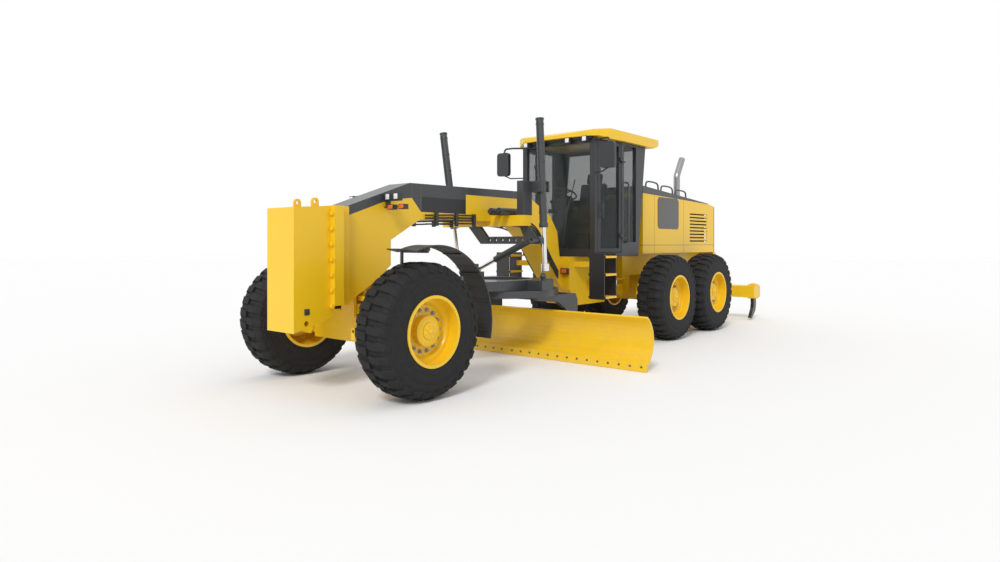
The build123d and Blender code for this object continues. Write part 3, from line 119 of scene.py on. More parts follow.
class Reading:
    """A value inside a shader, which takes part in Python expressions."""

    def __init__(self, tree, output):
        self.tree = tree
        self.output = output

    def math(self, operation, *values, clamp=False):
        node = self.tree.nodes.new("ShaderNodeMath")
        node.operation = operation
        node.use_clamp = clamp
        for socket, value in zip(node.inputs, values):
            if isinstance(value, Reading):
                self.tree.links.new(value.output, socket)
            else:
                socket.default_value = value
        return Reading(self.tree, node.outputs[0])

    def __add__(self, other):
        return self.math("ADD", self, other)

    def __radd__(self, other):
        return self.math("ADD", other, self)

    def __sub__(self, other):
        return self.math("SUBTRACT", self, other)

    def __rsub__(self, other):
        return self.math("SUBTRACT", other, self)

    def __mul__(self, other):
        return self.math("MULTIPLY", self, other)

    def __rmul__(self, other):
        return self.math("MULTIPLY", other, self)

    def __truediv__(self, other):
        return self.math("DIVIDE", self, other)

    def size(self):
        return self.math("ABSOLUTE", self)

    def above(self, limit, soft=0.002):
        """1 where the value is above the limit, 0 below it, over a narrow edge."""
        edge = (self - limit) / soft
        return edge.math("ADD", edge, 0.5, clamp=True)

    def below(self, limit, soft=0.002):
        return 1 - self.above(limit, soft)

    def between(self, low, high, soft=0.002):
        return self.above(low, soft) * self.below(high, soft)

    def either(self, other):
        return self.math("MAXIMUM", self, other)


class Finish:
    """A surface finish, built round one shader."""

    def __init__(self, name, colour, roughness, metal=0.0, coat=0.0):
        self.material = bpy.data.materials.new(name)
        self.material.use_nodes = True
        self.tree = self.material.node_tree
        self.shader = self.tree.nodes["Principled BSDF"]
        self.shader.inputs["Base Color"].default_value = (*colour, 1)
        self.shader.inputs["Roughness"].default_value = roughness
        self.shader.inputs["Metallic"].default_value = metal
        self.shader.inputs["Coat Weight"].default_value = coat
        self.shader.inputs["Coat Roughness"].default_value = 0.12

    def node(self, kind, settings, links, output=0):
        node = self.tree.nodes.new(kind)
        for key, value in settings.items():
            setattr(node, key, value)
        for key, value in links.items():
            if isinstance(value, Reading):
                self.tree.links.new(value.output, node.inputs[key])
            else:
                node.inputs[key].default_value = value
        return Reading(self.tree, node.outputs[output])

    def place(self):
        """The X, Y and Z of a point, in metres in the machine's own frame."""
        where = self.node("ShaderNodeTexCoord", {}, {}, "Object")
        parts = self.node("ShaderNodeSeparateXYZ", {}, {"Vector": where})
        return [Reading(self.tree, output) for output in parts.output.node.outputs]

    def noise(self, scale, detail=3.0, roughness=0.55):
        where = self.node("ShaderNodeTexCoord", {}, {}, "Object")
        return self.node("ShaderNodeTexNoise", {}, {"Vector": where, "Scale": scale, "Detail": detail,
                                                    "Roughness": roughness}, "Fac")

    def mix(self, mask, first, second):
        """The first colour where the mask is 0 and the second where it is 1."""
        return self.node("ShaderNodeMix", {"data_type": "RGBA"}, {0: mask, 6: first, 7: second}, 2)

    def feed(self, name, value):
        self.tree.links.new(value.output, self.shader.inputs[name])

    def relief(self, height, depth):
        """Small relief, with its depth in metres."""
        self.feed("Normal", self.node("ShaderNodeBump", {}, {"Height": height, "Distance": depth,
                                                            "Strength": 1.0}))


YELLOW = (0.90, 0.56, 0.010)
DARK_GREY = (0.042, 0.046, 0.050)
SIGN_BLACK = (0.006, 0.006, 0.007)
DUST = (0.30, 0.27, 0.23)


def paint(name, colour, roughness=0.36, coat=0.15, marks=None):
    """Sprayed paint with faint unevenness, orange peel and road dust low down.
    marks gives masks with the colours that they put over the paint."""
    finish = Finish(name, colour, roughness, coat=coat)
    cloud = finish.noise(1.7)
    shade = finish.mix(cloud.above(0.5, 0.5) * 0.5, tuple(c * 0.94 for c in colour) + (1,), (*colour, 1))
    for mask, mark in (marks(finish) if marks else []):
        shade = finish.mix(mask, shade, (*mark, 1))
    height = finish.place()[2]
    dust = finish.noise(9.0, 6.0).above(0.56, 0.25) * height.below(0.5, 0.9) * 0.10
    shade = finish.mix(dust, shade, (*DUST, 1))
    finish.feed("Base Color", shade)
    finish.feed("Roughness", finish.noise(26.0) * 0.10 + (roughness - 0.05))
    finish.relief(finish.noise(420.0, 1.0), 0.00025)
    return finish.material


NECK_HALF = 0.18                        # half the width of the gooseneck
KNEE = (3.837, 2.009)                   # X and Z where the band's lower edge changes slope
BAND_FALL = (0.344, 0.117)              # fall of that edge per metre, ahead of the knee and behind it
BAND_REAR = (1.35, 2.135)               # X where the band ends, and Z of its edge behind the sign
SIGN_X = (2.59, 3.355)
SIGN_Z = (1.893, 2.07)
SIGN_RIM = 0.012
SIGN_SLOPE = (0.14, 1.1)                # length and steepness of the edge ahead of the sign
NECK_UNDER = 1.7                        # nothing is marked below this height


def neck_marks(finish):
    """The dark band over the top of the gooseneck, and the sign field on its sides."""
    x, y, z = finish.place()
    above_knee = [(z + (x - KNEE[0]) * fall - KNEE[1]).above(0.0) for fall in BAND_FALL]
    slope_end = SIGN_X[1] + SIGN_SLOPE[0]
    front = above_knee[0] * x.above(KNEE[0])
    middle = above_knee[1] * x.between(slope_end, KNEE[0])
    slope = (z - SIGN_Z[0] - (x - SIGN_X[1]) * SIGN_SLOPE[1]).above(0.0) * x.between(SIGN_X[1], slope_end)
    over = z.above(SIGN_Z[0]) * x.between(*SIGN_X)
    rear = z.above(BAND_REAR[1]) * x.between(BAND_REAR[0], SIGN_X[0])
    on_neck = y.size().below(NECK_HALF + 0.004)
    band = front.either(middle).either(slope).either(over).either(rear) * on_neck * z.above(NECK_UNDER)
    sign = over * z.below(SIGN_Z[1]) * on_neck * x.between(SIGN_X[0] + SIGN_RIM, SIGN_X[1] - SIGN_RIM)
    return [(band, DARK_GREY), (sign, SIGN_BLACK)]


yellow_paint = paint("golden_yellow_paint", YELLOW)
neck_paint = paint("gooseneck_paint", YELLOW, marks=neck_marks)
dark_paint = paint("dark_grey_paint", DARK_GREY, 0.42, 0.2)


def dress(names, material):
    """Gives carried-over pieces their finish."""
    for name in names:
        for slot in nodes[name].material_slots:
            slot.material = material


SIDES = {"left": 1, "right": -1}
dress(["front_frame"], neck_paint)
dress(["push_block", "front_axle", "lean_bracket_left", "lean_bracket_right", "lean_bar",
       "knuckle_left", "knuckle_right", "tandem_cases", "rear_frame", "cab_roof",
       "cutting_edges"], yellow_paint)
dress(["tie_rod", "tie_rod_end", "drawbar", "drawbar_ball", "circle", "blade_carrier"], dark_paint)

# ---------------------------------------------------------------- bolts of the push block
# The push block is a welded box that is bolted to the nose through a flange. Hexagon bolts
# with washers run down both edges of the flange.
BOLT_RADIUS = 0.026
BOLT_HEIGHT = 0.020


def alone(piece):
    """Leaves one piece selected and active."""
    bpy.ops.object.select_all(action="DESELECT")
    piece.select_set(True)
    bpy.context.view_layer.objects.active = piece


def settle(piece):
    """Moves a piece's place, turn and size into its mesh."""
    alone(piece)
    bpy.ops.object.transform_apply(location=True, rotation=True, scale=True)
    return piece


def bevel_edges(piece, width, segments=2, chosen=None):
    """Rounds the edges of a piece, or of the faces that chosen picks by centre and normal."""
    alone(piece)
    bpy.ops.object.mode_set(mode="EDIT")
    bpy.ops.mesh.select_mode(type="FACE")
    bpy.ops.mesh.select_all(action="SELECT" if chosen is None else "DESELECT")
    bpy.ops.object.mode_set(mode="OBJECT")
    if chosen is not None:
        for face in piece.data.polygons:
            face.select = chosen(face.center, face.normal)
    bpy.ops.object.mode_set(mode="EDIT")
    bpy.ops.mesh.bevel(offset=width, segments=segments, affect="EDGES", clamp_overlap=True)
    bpy.ops.object.mode_set(mode="OBJECT")
    return piece


def rod(start, end, radius, sides=24, bevel=0.0, tip_radius=None):
    """A round bar between two points, or a cone where it has a tip radius."""
    start, end = Vector(start), Vector(end)
    way = end - start
    turn = way.to_track_quat("Z", "Y").to_euler()
    if tip_radius is None:
        bpy.ops.mesh.primitive_cylinder_add(vertices=sides, radius=radius, depth=way.length,
                                            location=(start + end) / 2, rotation=turn)
    else:
        bpy.ops.mesh.primitive_cone_add(vertices=sides, radius1=radius, radius2=tip_radius,
                                        depth=way.length, location=(start + end) / 2, rotation=turn)
    piece = settle(bpy.context.object)
    if bevel:
        along = way.normalized()
        bevel_edges(piece, bevel, 2, lambda centre, normal: abs(normal.dot(along)) > 0.95)
    return piece


def block(low, high, bevel=0.004, segments=2):
    """A box between two corners, with rounded edges."""
    low, high = Vector(low), Vector(high)
    bpy.ops.mesh.primitive_cube_add(size=1, location=(low + high) / 2)
    piece = bpy.context.object
    piece.scale = [abs(a - b) for a, b in zip(high, low)]
    settle(piece)
    return bevel_edges(piece, bevel, segments)


def copied(piece, matrix):
    """A copy of a piece with its own mesh, moved by a matrix."""
    twin = piece.copy()
    twin.data = piece.data.copy()
    twin.data.transform(matrix)
    bpy.context.scene.collection.objects.link(twin)
    return twin


def joined(pieces, name):
    """Several meshes as one piece."""
    bpy.ops.object.select_all(action="DESELECT")
    for piece in pieces:
        piece.select_set(True)
    bpy.context.view_layer.objects.active = pieces[0]
    if len(pieces) > 1:
        bpy.ops.object.join()
    pieces[0].name = name
    pieces[0].data.name = name
    return pieces[0]


def fitted(piece, name, body, material, smooth=35):
    """Names a finished piece, gives it its finish and makes it ride on its body."""
    settle(piece)
    piece.name = name
    piece.data.materials.clear()
    piece.data.materials.append(material)
    bpy.ops.object.shade_smooth_by_angle(angle=radians(smooth))
    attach(piece, body)
    return piece


def bolt(place, way):
    """A hexagon bolt head on its washer, standing on a surface."""
    place, way = Vector(place), Vector(way).normalized() * BOLT_HEIGHT
    washer = rod(place, place + way * 0.25, BOLT_RADIUS * 1.35, 20)
    head = rod(place + way * 0.25, place + way * 1.2, BOLT_RADIUS, 6, BOLT_RADIUS * 0.12)
    return joined([washer, head], "bolt")


push_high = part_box("push_block")[1]
FLANGE_X = 4.645                        # front face of the flange
FLANGE_Y = 0.268                        # line of the bolts, from the middle
FLANGE_BOLTS = 7
BOLT_ROW = (0.90, 0.155)                # height of the lowest bolt, and the spacing
pattern = bolt((FLANGE_X, 0, 0), (1, 0, 0))
heads = []
for side in SIDES.values():
    for k in range(FLANGE_BOLTS):
        height = BOLT_ROW[0] + BOLT_ROW[1] * k
        heads.append(copied(pattern, Matrix.Translation((0, side * FLANGE_Y, height))))
bpy.data.objects.remove(pattern)
fitted(joined(heads, "push_block_bolts"), "push_block_bolts", "front_frame", yellow_paint)

# a dark square plate above the cross bore on each side, painted shade standing in for a square socket
SOCKET_SHADE = (4.925, 0.855, 0.03)           # X and Z of its middle, and half its size
SOCKET_STANDS = 0.006
BODY_SHARE = 0.7833                     # the block's half width, as a share of its flange's
for name, side in SIDES.items():
    face_y = side * push_high.y * BODY_SHARE
    plate = block((SOCKET_SHADE[0] - SOCKET_SHADE[2], face_y, SOCKET_SHADE[1] - SOCKET_SHADE[2]),
                  (SOCKET_SHADE[0] + SOCKET_SHADE[2], face_y + side * SOCKET_STANDS, SOCKET_SHADE[1] + SOCKET_SHADE[2]), 0.002)
    fitted(plate, f"push_block_socket_shade_{name}", "front_frame", dark_paint)

# ---------------------------------------------------------------- tyres
# Six radial earthmoving tyres of black rubber, moulded with deep blocks that run in from both
# shoulders in a stagger. The sidewall bulges and carries fine moulded rings.
TYRE_RADIUS = 0.674
CARCASS_RADIUS = 0.646                  # floor of the grooves
TYRE_HALF = 0.2225
BEAD_RADIUS = 0.352
PROFILE = ((0.342, 0.200), (BEAD_RADIUS, 0.212), (0.385, 0.214), (0.392, 0.219), (0.402, 0.219),
           (0.409, 0.216), (0.455, 0.221), (0.505, TYRE_HALF), (0.512, 0.2185), (0.520, TYRE_HALF - 0.001),
           (0.560, 0.219), (0.600, 0.209), (0.628, 0.190), (0.641, 0.150), (CARCASS_RADIUS, 0.080),
           (CARCASS_RADIUS, 0.0))
LUGS = 30
BLOCK_ROOT = 0.012                      # how far a tread block reaches into the carcass
BLOCK_SLANT = 0.22                      # its outer end runs ahead by this share of its length
BLOCK_TAPER = 0.88                      # length of its tip, as a share of its root's
ROOT_DROP = 1.15                        # drop of its root at the outer end, as a share of its tip's
rubber = Finish("tyre_rubber", (0.020, 0.020, 0.021), 0.78)
scuff = rubber.noise(14.0, 8.0, 0.7)
rubber.feed("Base Color", rubber.mix(scuff.above(0.52, 0.3) * 0.45, (0.016, 0.016, 0.017, 1),
                                     (0.034, 0.033, 0.032, 1)))
rubber.shader.inputs["Specular IOR Level"].default_value = 0.25
rubber.feed("Roughness", scuff * 0.22 + 0.64)
rubber.relief(rubber.noise(160.0, 4.0), 0.0012)


def profile_of(points, name):
    """A mesh of loose edges through (radius, width) points, in the plane across the tread."""
    mesh = bpy.data.meshes.new(name)
    mesh.from_pydata([(0, width, radius) for radius, width in points],
                     [(k, k + 1) for k in range(len(points) - 1)], [])
    piece = bpy.data.objects.new(name, mesh)
    bpy.context.scene.collection.objects.link(piece)
    return piece


def spun(piece, steps):
    """Turns a profile all the way round the Y axis and closes the seam."""
    alone(piece)
    bpy.ops.object.mode_set(mode="EDIT")
    bpy.ops.mesh.select_all(action="SELECT")
    bpy.ops.mesh.spin(steps=steps, angle=2 * pi, center=(0, 0, 0), axis=(0, 1, 0))
    bpy.ops.mesh.select_all(action="SELECT")
    bpy.ops.mesh.remove_doubles(threshold=0.0002)
    bpy.ops.mesh.normals_make_consistent(inside=False)
    bpy.ops.object.mode_set(mode="OBJECT")
    return piece


outline = [(r, w) for r, w in PROFILE] + [(r, -w) for r, w in PROFILE[-2::-1]]
carcass = spun(profile_of(outline + [outline[0]], "carcass"), 96)


def tread_block(start, end, middle, length, tip, drop):
    """One tread block from one width to another, round a middle along the tread, with its outer
    end drawn down over the shoulder."""
    root = CARCASS_RADIUS - BLOCK_ROOT
    bpy.ops.mesh.primitive_cube_add(size=1, location=(middle, (start + end) / 2, (root + tip) / 2))
    piece = bpy.context.object
    piece.scale = (length, end - start, tip - CARCASS_RADIUS + BLOCK_ROOT)
    settle(piece)
    for vertex in piece.data.vertices:
        high = vertex.co.z > CARCASS_RADIUS
        if vertex.co.y > end - 0.001:
            vertex.co.z -= drop * (1.0 if high else ROOT_DROP)
            vertex.co.x += length * BLOCK_SLANT
        if high:
            vertex.co.x = middle + (vertex.co.x - middle) * BLOCK_TAPER
    return bevel_edges(piece, 0.005, 1)


pitch = 2 * pi / LUGS
long_block = tread_block(0.010, 0.128, 0.0, 0.084, TYRE_RADIUS - 0.001, 0.004)
shoulder_block = tread_block(0.118, 0.214, 0.006, 0.092, TYRE_RADIUS - 0.003, 0.045)
side_block = tread_block(0.192, 0.2235, 0.030, 0.060, 0.628, 0.050)
blocks = []
for k in range(LUGS):
    turn = Matrix.Rotation(k * pitch, 4, "Y")
    stagger = Matrix.Rotation((k + 0.5) * pitch, 4, "Y") @ Matrix.Rotation(pi, 4, "Z")
    for piece in (long_block, shoulder_block, side_block):
        blocks.append(copied(piece, turn))
        blocks.append(copied(piece, stagger))
for piece in (long_block, shoulder_block, side_block):
    bpy.data.objects.remove(piece)
tyre = joined([carcass] + blocks, "tyre")

# each wheel's body with the place of a pattern on it, turned about on the right side
WHEELS = {}
for joint in joints.values():
    if joint["name"].startswith("wheel_"):
        turn = Matrix.Rotation(pi if joint["pos_m"][1] < 0 else 0, 4, "Z")
        WHEELS[joint["child"]] = Matrix.Translation(joint["pos_m"]) @ turn
for wheel, place in WHEELS.items():
    name = wheel.replace("wheel_", "tyre_")
    piece = copied(tyre, place)
    fitted(piece, f"{name}_rubber", wheel, rubber.material, 40)
    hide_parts(name)
bpy.data.objects.remove(tyre)

# ---------------------------------------------------------------- rims, wheel nuts and hubs
# One-piece steel rims, painted yellow, are held by a ring of nuts on studs round the hub. The
# hub's cover has small bolts, and a valve stands in the dish.
NUTS = 14
NUT_CIRCLE = 0.205
DISC_FACE = 0.050                       # outer face of the dish, from the tyre's middle
NUT_STACK = ((0.000, 0.006, 0.024, 20, 0.0), (0.006, 0.030, 0.018, 6, 0.002),
             (0.030, 0.042, 0.010, 12, 0.002))  # washer, nut and stud: start, end, radius, sides, bevel
HUB_FACE = 0.140
COVER_FACE = HUB_FACE + 0.012
COVER_BOLTS = 8
COVER_CIRCLE = 0.064
nut_steel = Finish("nut_steel", (0.42, 0.42, 0.41), 0.36, metal=0.9)
nut_steel.feed("Roughness", nut_steel.noise(90.0) * 0.25 + 0.25)
dress([n for n in nodes if n.startswith("rim_")], yellow_paint)
nuts = []
for k in range(NUTS):
    turn = 2 * pi * k / NUTS
    x, z = NUT_CIRCLE * cos(turn), NUT_CIRCLE * sin(turn)
    for start, end, *shape in NUT_STACK:
        nuts.append(rod((x, DISC_FACE + start, z), (x, DISC_FACE + end, z), *shape))
nut_ring = joined(nuts, "nut_ring")
caps = [rod((0, HUB_FACE, 0), (0, COVER_FACE, 0), 0.085, 48, 0.004),
        rod((0, COVER_FACE, 0), (0, COVER_FACE + 0.012, 0), 0.030, 6, 0.003)]
for k in range(COVER_BOLTS):
    turn = 2 * pi * (k + 0.5) / COVER_BOLTS
    x, z = COVER_CIRCLE * cos(turn), COVER_CIRCLE * sin(turn)
    caps.append(rod((x, COVER_FACE, z), (x, COVER_FACE + 0.008, z), 0.009, 6, 0.001))
hub_cover = joined(caps, "hub_cover")
valve = rod((0.27, 0.085, 0.03), (0.285, 0.150, 0.03), 0.006, 12, 0.001)
for wheel, place in WHEELS.items():
    fitted(copied(nut_ring, place), wheel.replace("wheel_", "wheel_nuts_"), wheel,
           nut_steel.material)
    fitted(copied(hub_cover, place), wheel.replace("wheel_", "hub_cover_"), wheel,
           yellow_paint)
    fitted(copied(valve, place), wheel.replace("wheel_", "valve_"), wheel,
           rubber.material)
for piece in (nut_ring, hub_cover, valve):
    bpy.data.objects.remove(piece)

# ---------------------------------------------------------------- front fenders
# Moulded black plastic guards on black posts that turn with the front wheels. A rolled lip
# stiffens each long edge, and ribs run across underneath.
plastic = Finish("black_plastic", (0.035, 0.037, 0.039), 0.48)
plastic.feed("Roughness", plastic.noise(60.0, 4.0) * 0.18 + 0.38)
plastic.relief(plastic.noise(900.0, 2.0), 0.0004)
dress(["fender_left", "fender_right", "console", "lamps"], plastic.material)
FENDER_CENTRE = (4.055, 0.700)          # X and Z of the guard's arc
FENDER_RADIUS = 0.812


def tube(points, radius):
    """A bent tube through a smooth line, with closed ends."""
    line = bpy.data.curves.new("tube", "CURVE")
    line.dimensions = "3D"
    line.bevel_depth = radius
    line.bevel_resolution = 3
    line.use_fill_caps = True
    spline = line.splines.new("NURBS")
    spline.points.add(len(points) - 1)
    for point, place in zip(spline.points, points):
        point.co = (*place, 1)
    spline.order_u = 3
    spline.use_endpoint_u = True
    spline.resolution_u = 8
    piece = bpy.data.objects.new("tube", line)
    bpy.context.scene.collection.objects.link(piece)
    alone(piece)
    bpy.ops.object.convert(target="MESH")
    return bpy.context.object


fender_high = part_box("fender_left")[1]


def on_guard(inset, y, angle):
    """A point under the guard, so far inside its arc, at an angle up from straight ahead."""
    radius = FENDER_RADIUS - inset
    return (FENDER_CENTRE[0] + radius * cos(radians(angle)), y,
            FENDER_CENTRE[1] + radius * sin(radians(angle)))


for name, side in SIDES.items():
    lips = []
    for y in (fender_high.y - 0.006, fender_high.y - 0.274):
        lips.append(tube([on_guard(0.006, side * y, angle) for angle in range(68, 195, 6)], 0.009))
    for angle in (90, 115, 140, 165, 188):
        ends = [on_guard(0.018, side * y, angle) for y in (fender_high.y - 0.27, fender_high.y - 0.01)]
        lips.append(rod(*ends, 0.008, 10))
    fitted(joined(lips, "lips"), f"fender_lips_{name}", f"knuckle_{name}", plastic.material)

# ---------------------------------------------------------------- cylinders and their rods
# Hydraulic cylinders are dark painted tubes with welded collars and a screwed gland, and their
# rods are ground and hard chromed. Small steel pipes feed the far end of the lift cylinders.
chrome = Finish("hard_chrome", (0.78, 0.78, 0.79), 0.12, metal=1.0)
chrome.feed("Roughness", chrome.noise(220.0) * 0.08 + 0.08)
dress(["lift_barrel_left", "lift_barrel_right", "shift_barrel", "steer_barrel", "ripper_barrels",
       "lift_arms"], dark_paint)
dress(["lift_rod_left", "lift_rod_right", "shift_rod", "steer_rod", "ripper_rods",
       "articulation_rod_left", "articulation_rod_right"], chrome.material)
COLLARS = ((0.868, 0.056, 0.020), (0.800, 0.055, 0.014), (0.560, 0.055, 0.014), (0.320, 0.055, 0.014),
           (-0.330, 0.055, 0.014), (-0.490, 0.060, 0.050))  # place up the barrel, radius, length
for name, side in SIDES.items():
    pin = Vector(joints[f"lift_barrel_{name}_tilt"]["pos_m"])
    up = Vector(joints[f"lift_rod_{name}_slide"]["axis"]).normalized()
    rings = [rod(pin + up * (at - length / 2), pin + up * (at + length / 2), radius, 40, 0.002)
             for at, radius, length in COLLARS]
    outer = Vector((0.066, 0, 0))
    route = ((0.83, 0.6), (0.83, 1), (0.79, 1), (0.45, 1), (0.15, 1), (0.11, 1), (0.11, 0.6))  # up and out
    rings.append(tube([pin + up * at + outer * share for at, share in route], 0.008))
    fitted(joined(rings, "collars"), f"lift_cylinder_collars_{name}", f"lift_barrel_{name}",
           dark_paint)

# ---------------------------------------------------------------- blade
# The moldboard is rolled plate, painted yellow. Plough bolts hold the two cutting edges along its foot, and
# the side shift rod behind it is chromed; that rod is drawn in light grey within the blade's paint, as a
# painted reflection of its chrome.
SIDE_ROD = (1.352, 0.560, 0.024)        # X, Z and radius of the side shift rod
ROD_PAINTED_SHEEN = (0.62, 0.62, 0.63)


# the light grey on the side shift rod is painted reflection standing in for its chrome
def blade_marks(finish):
    x, y, z = finish.place()
    dx, dz = x - SIDE_ROD[0], z - SIDE_ROD[1]
    square = dx * dx + dz * dz
    away = square.math("SQRT", square)
    return [(away.below(SIDE_ROD[2]), ROD_PAINTED_SHEEN)]


blade_paint = paint("blade_paint", YELLOW, 0.36, 0.3, marks=blade_marks)
dress(["moldboard"], blade_paint)
EDGE_BOLTS = 14                         # on each cutting edge
EDGE_BOLT_Z = 0.060
EDGE_MARGINS = (0.09, 0.16)             # from the middle to the first bolt, and both ends' together
edge_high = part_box("cutting_edges")[1]
heads = []
for side in SIDES.values():
    for k in range(EDGE_BOLTS):
        y = side * (EDGE_MARGINS[0] + k * (edge_high.y - EDGE_MARGINS[1]) / (EDGE_BOLTS - 1))
        heads.append(rod((edge_high.x - 0.004, y, EDGE_BOLT_Z), (edge_high.x + 0.003, y, EDGE_BOLT_Z),
                         0.013, 16, 0.002))
dark_steel = Finish("bolt_steel", (0.10, 0.10, 0.10), 0.45, metal=0.8)
dark_steel.feed("Roughness", dark_steel.noise(150.0) * 0.3 + 0.3)
fitted(joined(heads, "heads"), "cutting_edge_bolts", "moldboard", dark_steel.material)

# ---------------------------------------------------------------- cab
# The cab is a welded frame of dark grey pillars with glued tinted glass and glazed doors. Its
# roof is a yellow cap over a black header that carries the work lamps.
roof_low, roof_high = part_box("cab_roof")
cab_paint = paint("cab_grey_paint", (0.026, 0.028, 0.031), 0.42, 0.1)
dress(["cab_frame", "door_left", "door_right"], cab_paint)
glass = Finish("tinted_glass", (0.035, 0.045, 0.045), 0.04)
glass.shader.inputs["Alpha"].default_value = 0.34
glass.feed("Roughness", glass.noise(3.0) * 0.04 + 0.03)
glass.material.blend_method = "BLEND"
dress(["cab_glass", "door_glass_left", "door_glass_right"], glass.material)
HEADER_HALF = 0.62
header = block((roof_high.x - 0.16, -HEADER_HALF, roof_low.z + 0.012),
               (roof_high.x - 0.085, HEADER_HALF, roof_low.z + 0.044), 0.006)
fitted(header, "cab_header", "front_frame", plastic.material)

# door handles, and grab rails behind the doors
CAB_FRONT = (0.36, 0.665)               # X and Y of the cab's front corner
CAB_CORNER = (-0.18, 0.80)              # X and Y of the corner where the door is hinged
GRIP_ALONG = 0.43                       # from the hinge to the handle, along the door
GRIP_OUT = (0.002, 0.045)               # where its stubs start, and its bar, out from the door
RAIL_ROUTE = ((0.80, 1.55), (0.86, 1.55), (0.86, 1.62), (0.86, 2.0), (0.86, 2.38), (0.86, 2.45),
              (0.80, 2.45))             # Y and Z
upward = Vector((0, 0, 1))
for name, side in SIDES.items():
    front = Vector((CAB_FRONT[0], side * CAB_FRONT[1], 0))
    corner = Vector((CAB_CORNER[0], side * CAB_CORNER[1], 0))
    run = (front - corner).normalized()
    outward = Vector((-run.y, run.x, 0)) * side
    inner, outer = (corner + run * GRIP_ALONG + outward * out for out in GRIP_OUT)
    parts = [rod(inner + upward * z, outer + upward * z, 0.009, 16) for z in (1.92, 2.10)]
    parts.append(rod(outer + upward * 1.90, outer + upward * 2.12, 0.011, 16, 0.003))
    fitted(joined(parts, "handle"), f"door_handle_{name}", f"door_{name}",
           plastic.material)
    rail = tube([(corner.x - 0.10, side * y, z) for y, z in RAIL_ROUTE], 0.015)
    fitted(rail, f"grab_rail_{name}", "front_frame", dark_paint)

# ---------------------------------------------------------------- mirrors and wipers
# Rectangular mirrors hang from black arms at the front corners, each with its glass facing
# the rear. A wiper lies on the windscreen.
mirror_glass = Finish("mirror_glass", (0.72, 0.75, 0.77), 0.04, metal=1.0)
mirror_glass.feed("Roughness", mirror_glass.noise(4.0) * 0.02 + 0.03)
MIRROR = (0.480, 0.960, 2.785)          # middle of the left mirror
MIRROR_GLASS = (0.095, 0.160)           # half the width and height of its glass
GLASS_BACK = (0.034, 0.029)             # both faces of the glass, behind the mirror's middle
for name, side in SIDES.items():
    low, high = [(MIRROR[0] - back, side * (MIRROR[1] + end * MIRROR_GLASS[0]),
                  MIRROR[2] + end * MIRROR_GLASS[1]) for back, end in zip(GLASS_BACK, (-1, 1))]
    face = block(low, high, 0.002)
    fitted(face, f"mirror_glass_{name}", "front_frame", mirror_glass.material)
SCREEN_X = 0.340                        # just ahead of the windscreen's face
arm = tube([(SCREEN_X - 0.02, 0.10, 1.50), (SCREEN_X + 0.012, 0.10, 1.52), (SCREEN_X + 0.012, 0.16, 1.90),
            (SCREEN_X + 0.006, 0.20, 2.15)], 0.007)
wiper_blade = rod((SCREEN_X - 0.006, 0.12, 1.80), (SCREEN_X - 0.006, 0.30, 2.48), 0.008, 8)
fitted(joined([arm, wiper_blade], "wiper"), "windscreen_wiper", "front_frame",
       plastic.material)

# ---------------------------------------------------------------- lamps
# Work lamps and driving lamps are black housings with clear round-cornered lenses, and the
# indicators are amber.
lens = Finish("lamp_lens", (0.86, 0.87, 0.88), 0.10, coat=0.5)
ribs = lens.place()[1]
lens.relief(ribs.math("SINE", ribs * 900.0), 0.0006)
amber = Finish("amber_lens", (0.85, 0.16, 0.01), 0.15, coat=0.5)
amber.relief(amber.place()[1].math("SINE", amber.place()[1] * 700.0), 0.0006)


# X of the face and Z of the middle, then half the width, half the height, and the bevel
ROOF_LAMP = (0.4605, 3.060, 0.032, 0.032, 0.008)
NECK_LAMP = (3.9235, 2.036, 0.029, 0.029, 0.007)
NECK_AMBER = (3.9175, 1.923, 0.038, 0.020, 0.006)
FRAME_AMBER = (0.5455, 1.115, 0.045, 0.030, 0.006)
LENS_DEPTH = 0.006


def lamp_face(y, lamp):
    """A thin lens over the front of a lamp."""
    x, z, wide, high, bevel = lamp
    return block((x - LENS_DEPTH, y - wide, z - high), (x, y + wide, z + high), bevel)


lenses = [lamp_face(y, ROOF_LAMP) for y in (-0.54, -0.24, 0.24, 0.54)]
fitted(joined(lenses, "lenses"), "roof_lamp_lenses", "front_frame", lens.material)
lenses, ambers = [], []
for side in SIDES.values():
    for y in (0.250, 0.385):
        lenses.append(lamp_face(side * y, NECK_LAMP))
    for y in (0.290, 0.465):
        ambers.append(lamp_face(side * y, NECK_AMBER))
    ambers.append(lamp_face(side * 0.24, FRAME_AMBER))
fitted(joined(lenses, "lenses"), "neck_lamp_lenses", "front_frame", lens.material)
fitted(joined(ambers, "ambers"), "amber_indicators", "front_frame", amber.material)

# ---------------------------------------------------------------- operator's seat and controls
# A suspension seat with a woven black cushion and backrest stands on a black pedestal, behind a
# steering column with a thin-rimmed wheel and slim control pods.
cloth = Finish("seat_cloth", (0.035, 0.036, 0.040), 0.85)
weave_x, weave_y, weave_z = cloth.place()
WEAVE = 2600.0                          # radians of the weave per metre
SEAM_AT = 0.62                          # share of the pad's half width
SEAM_HALF = 0.06
SEAM_DEPTH = 0.008
threads = weave_y.math("SINE", weave_y * WEAVE) * weave_z.math("SINE", (weave_z + weave_x) * WEAVE)
cloth.feed("Base Color", cloth.mix(threads.above(0.0, 1.0), (0.026, 0.027, 0.030, 1),
                                   (0.060, 0.062, 0.068, 1)))
cloth.relief(threads, 0.0006)


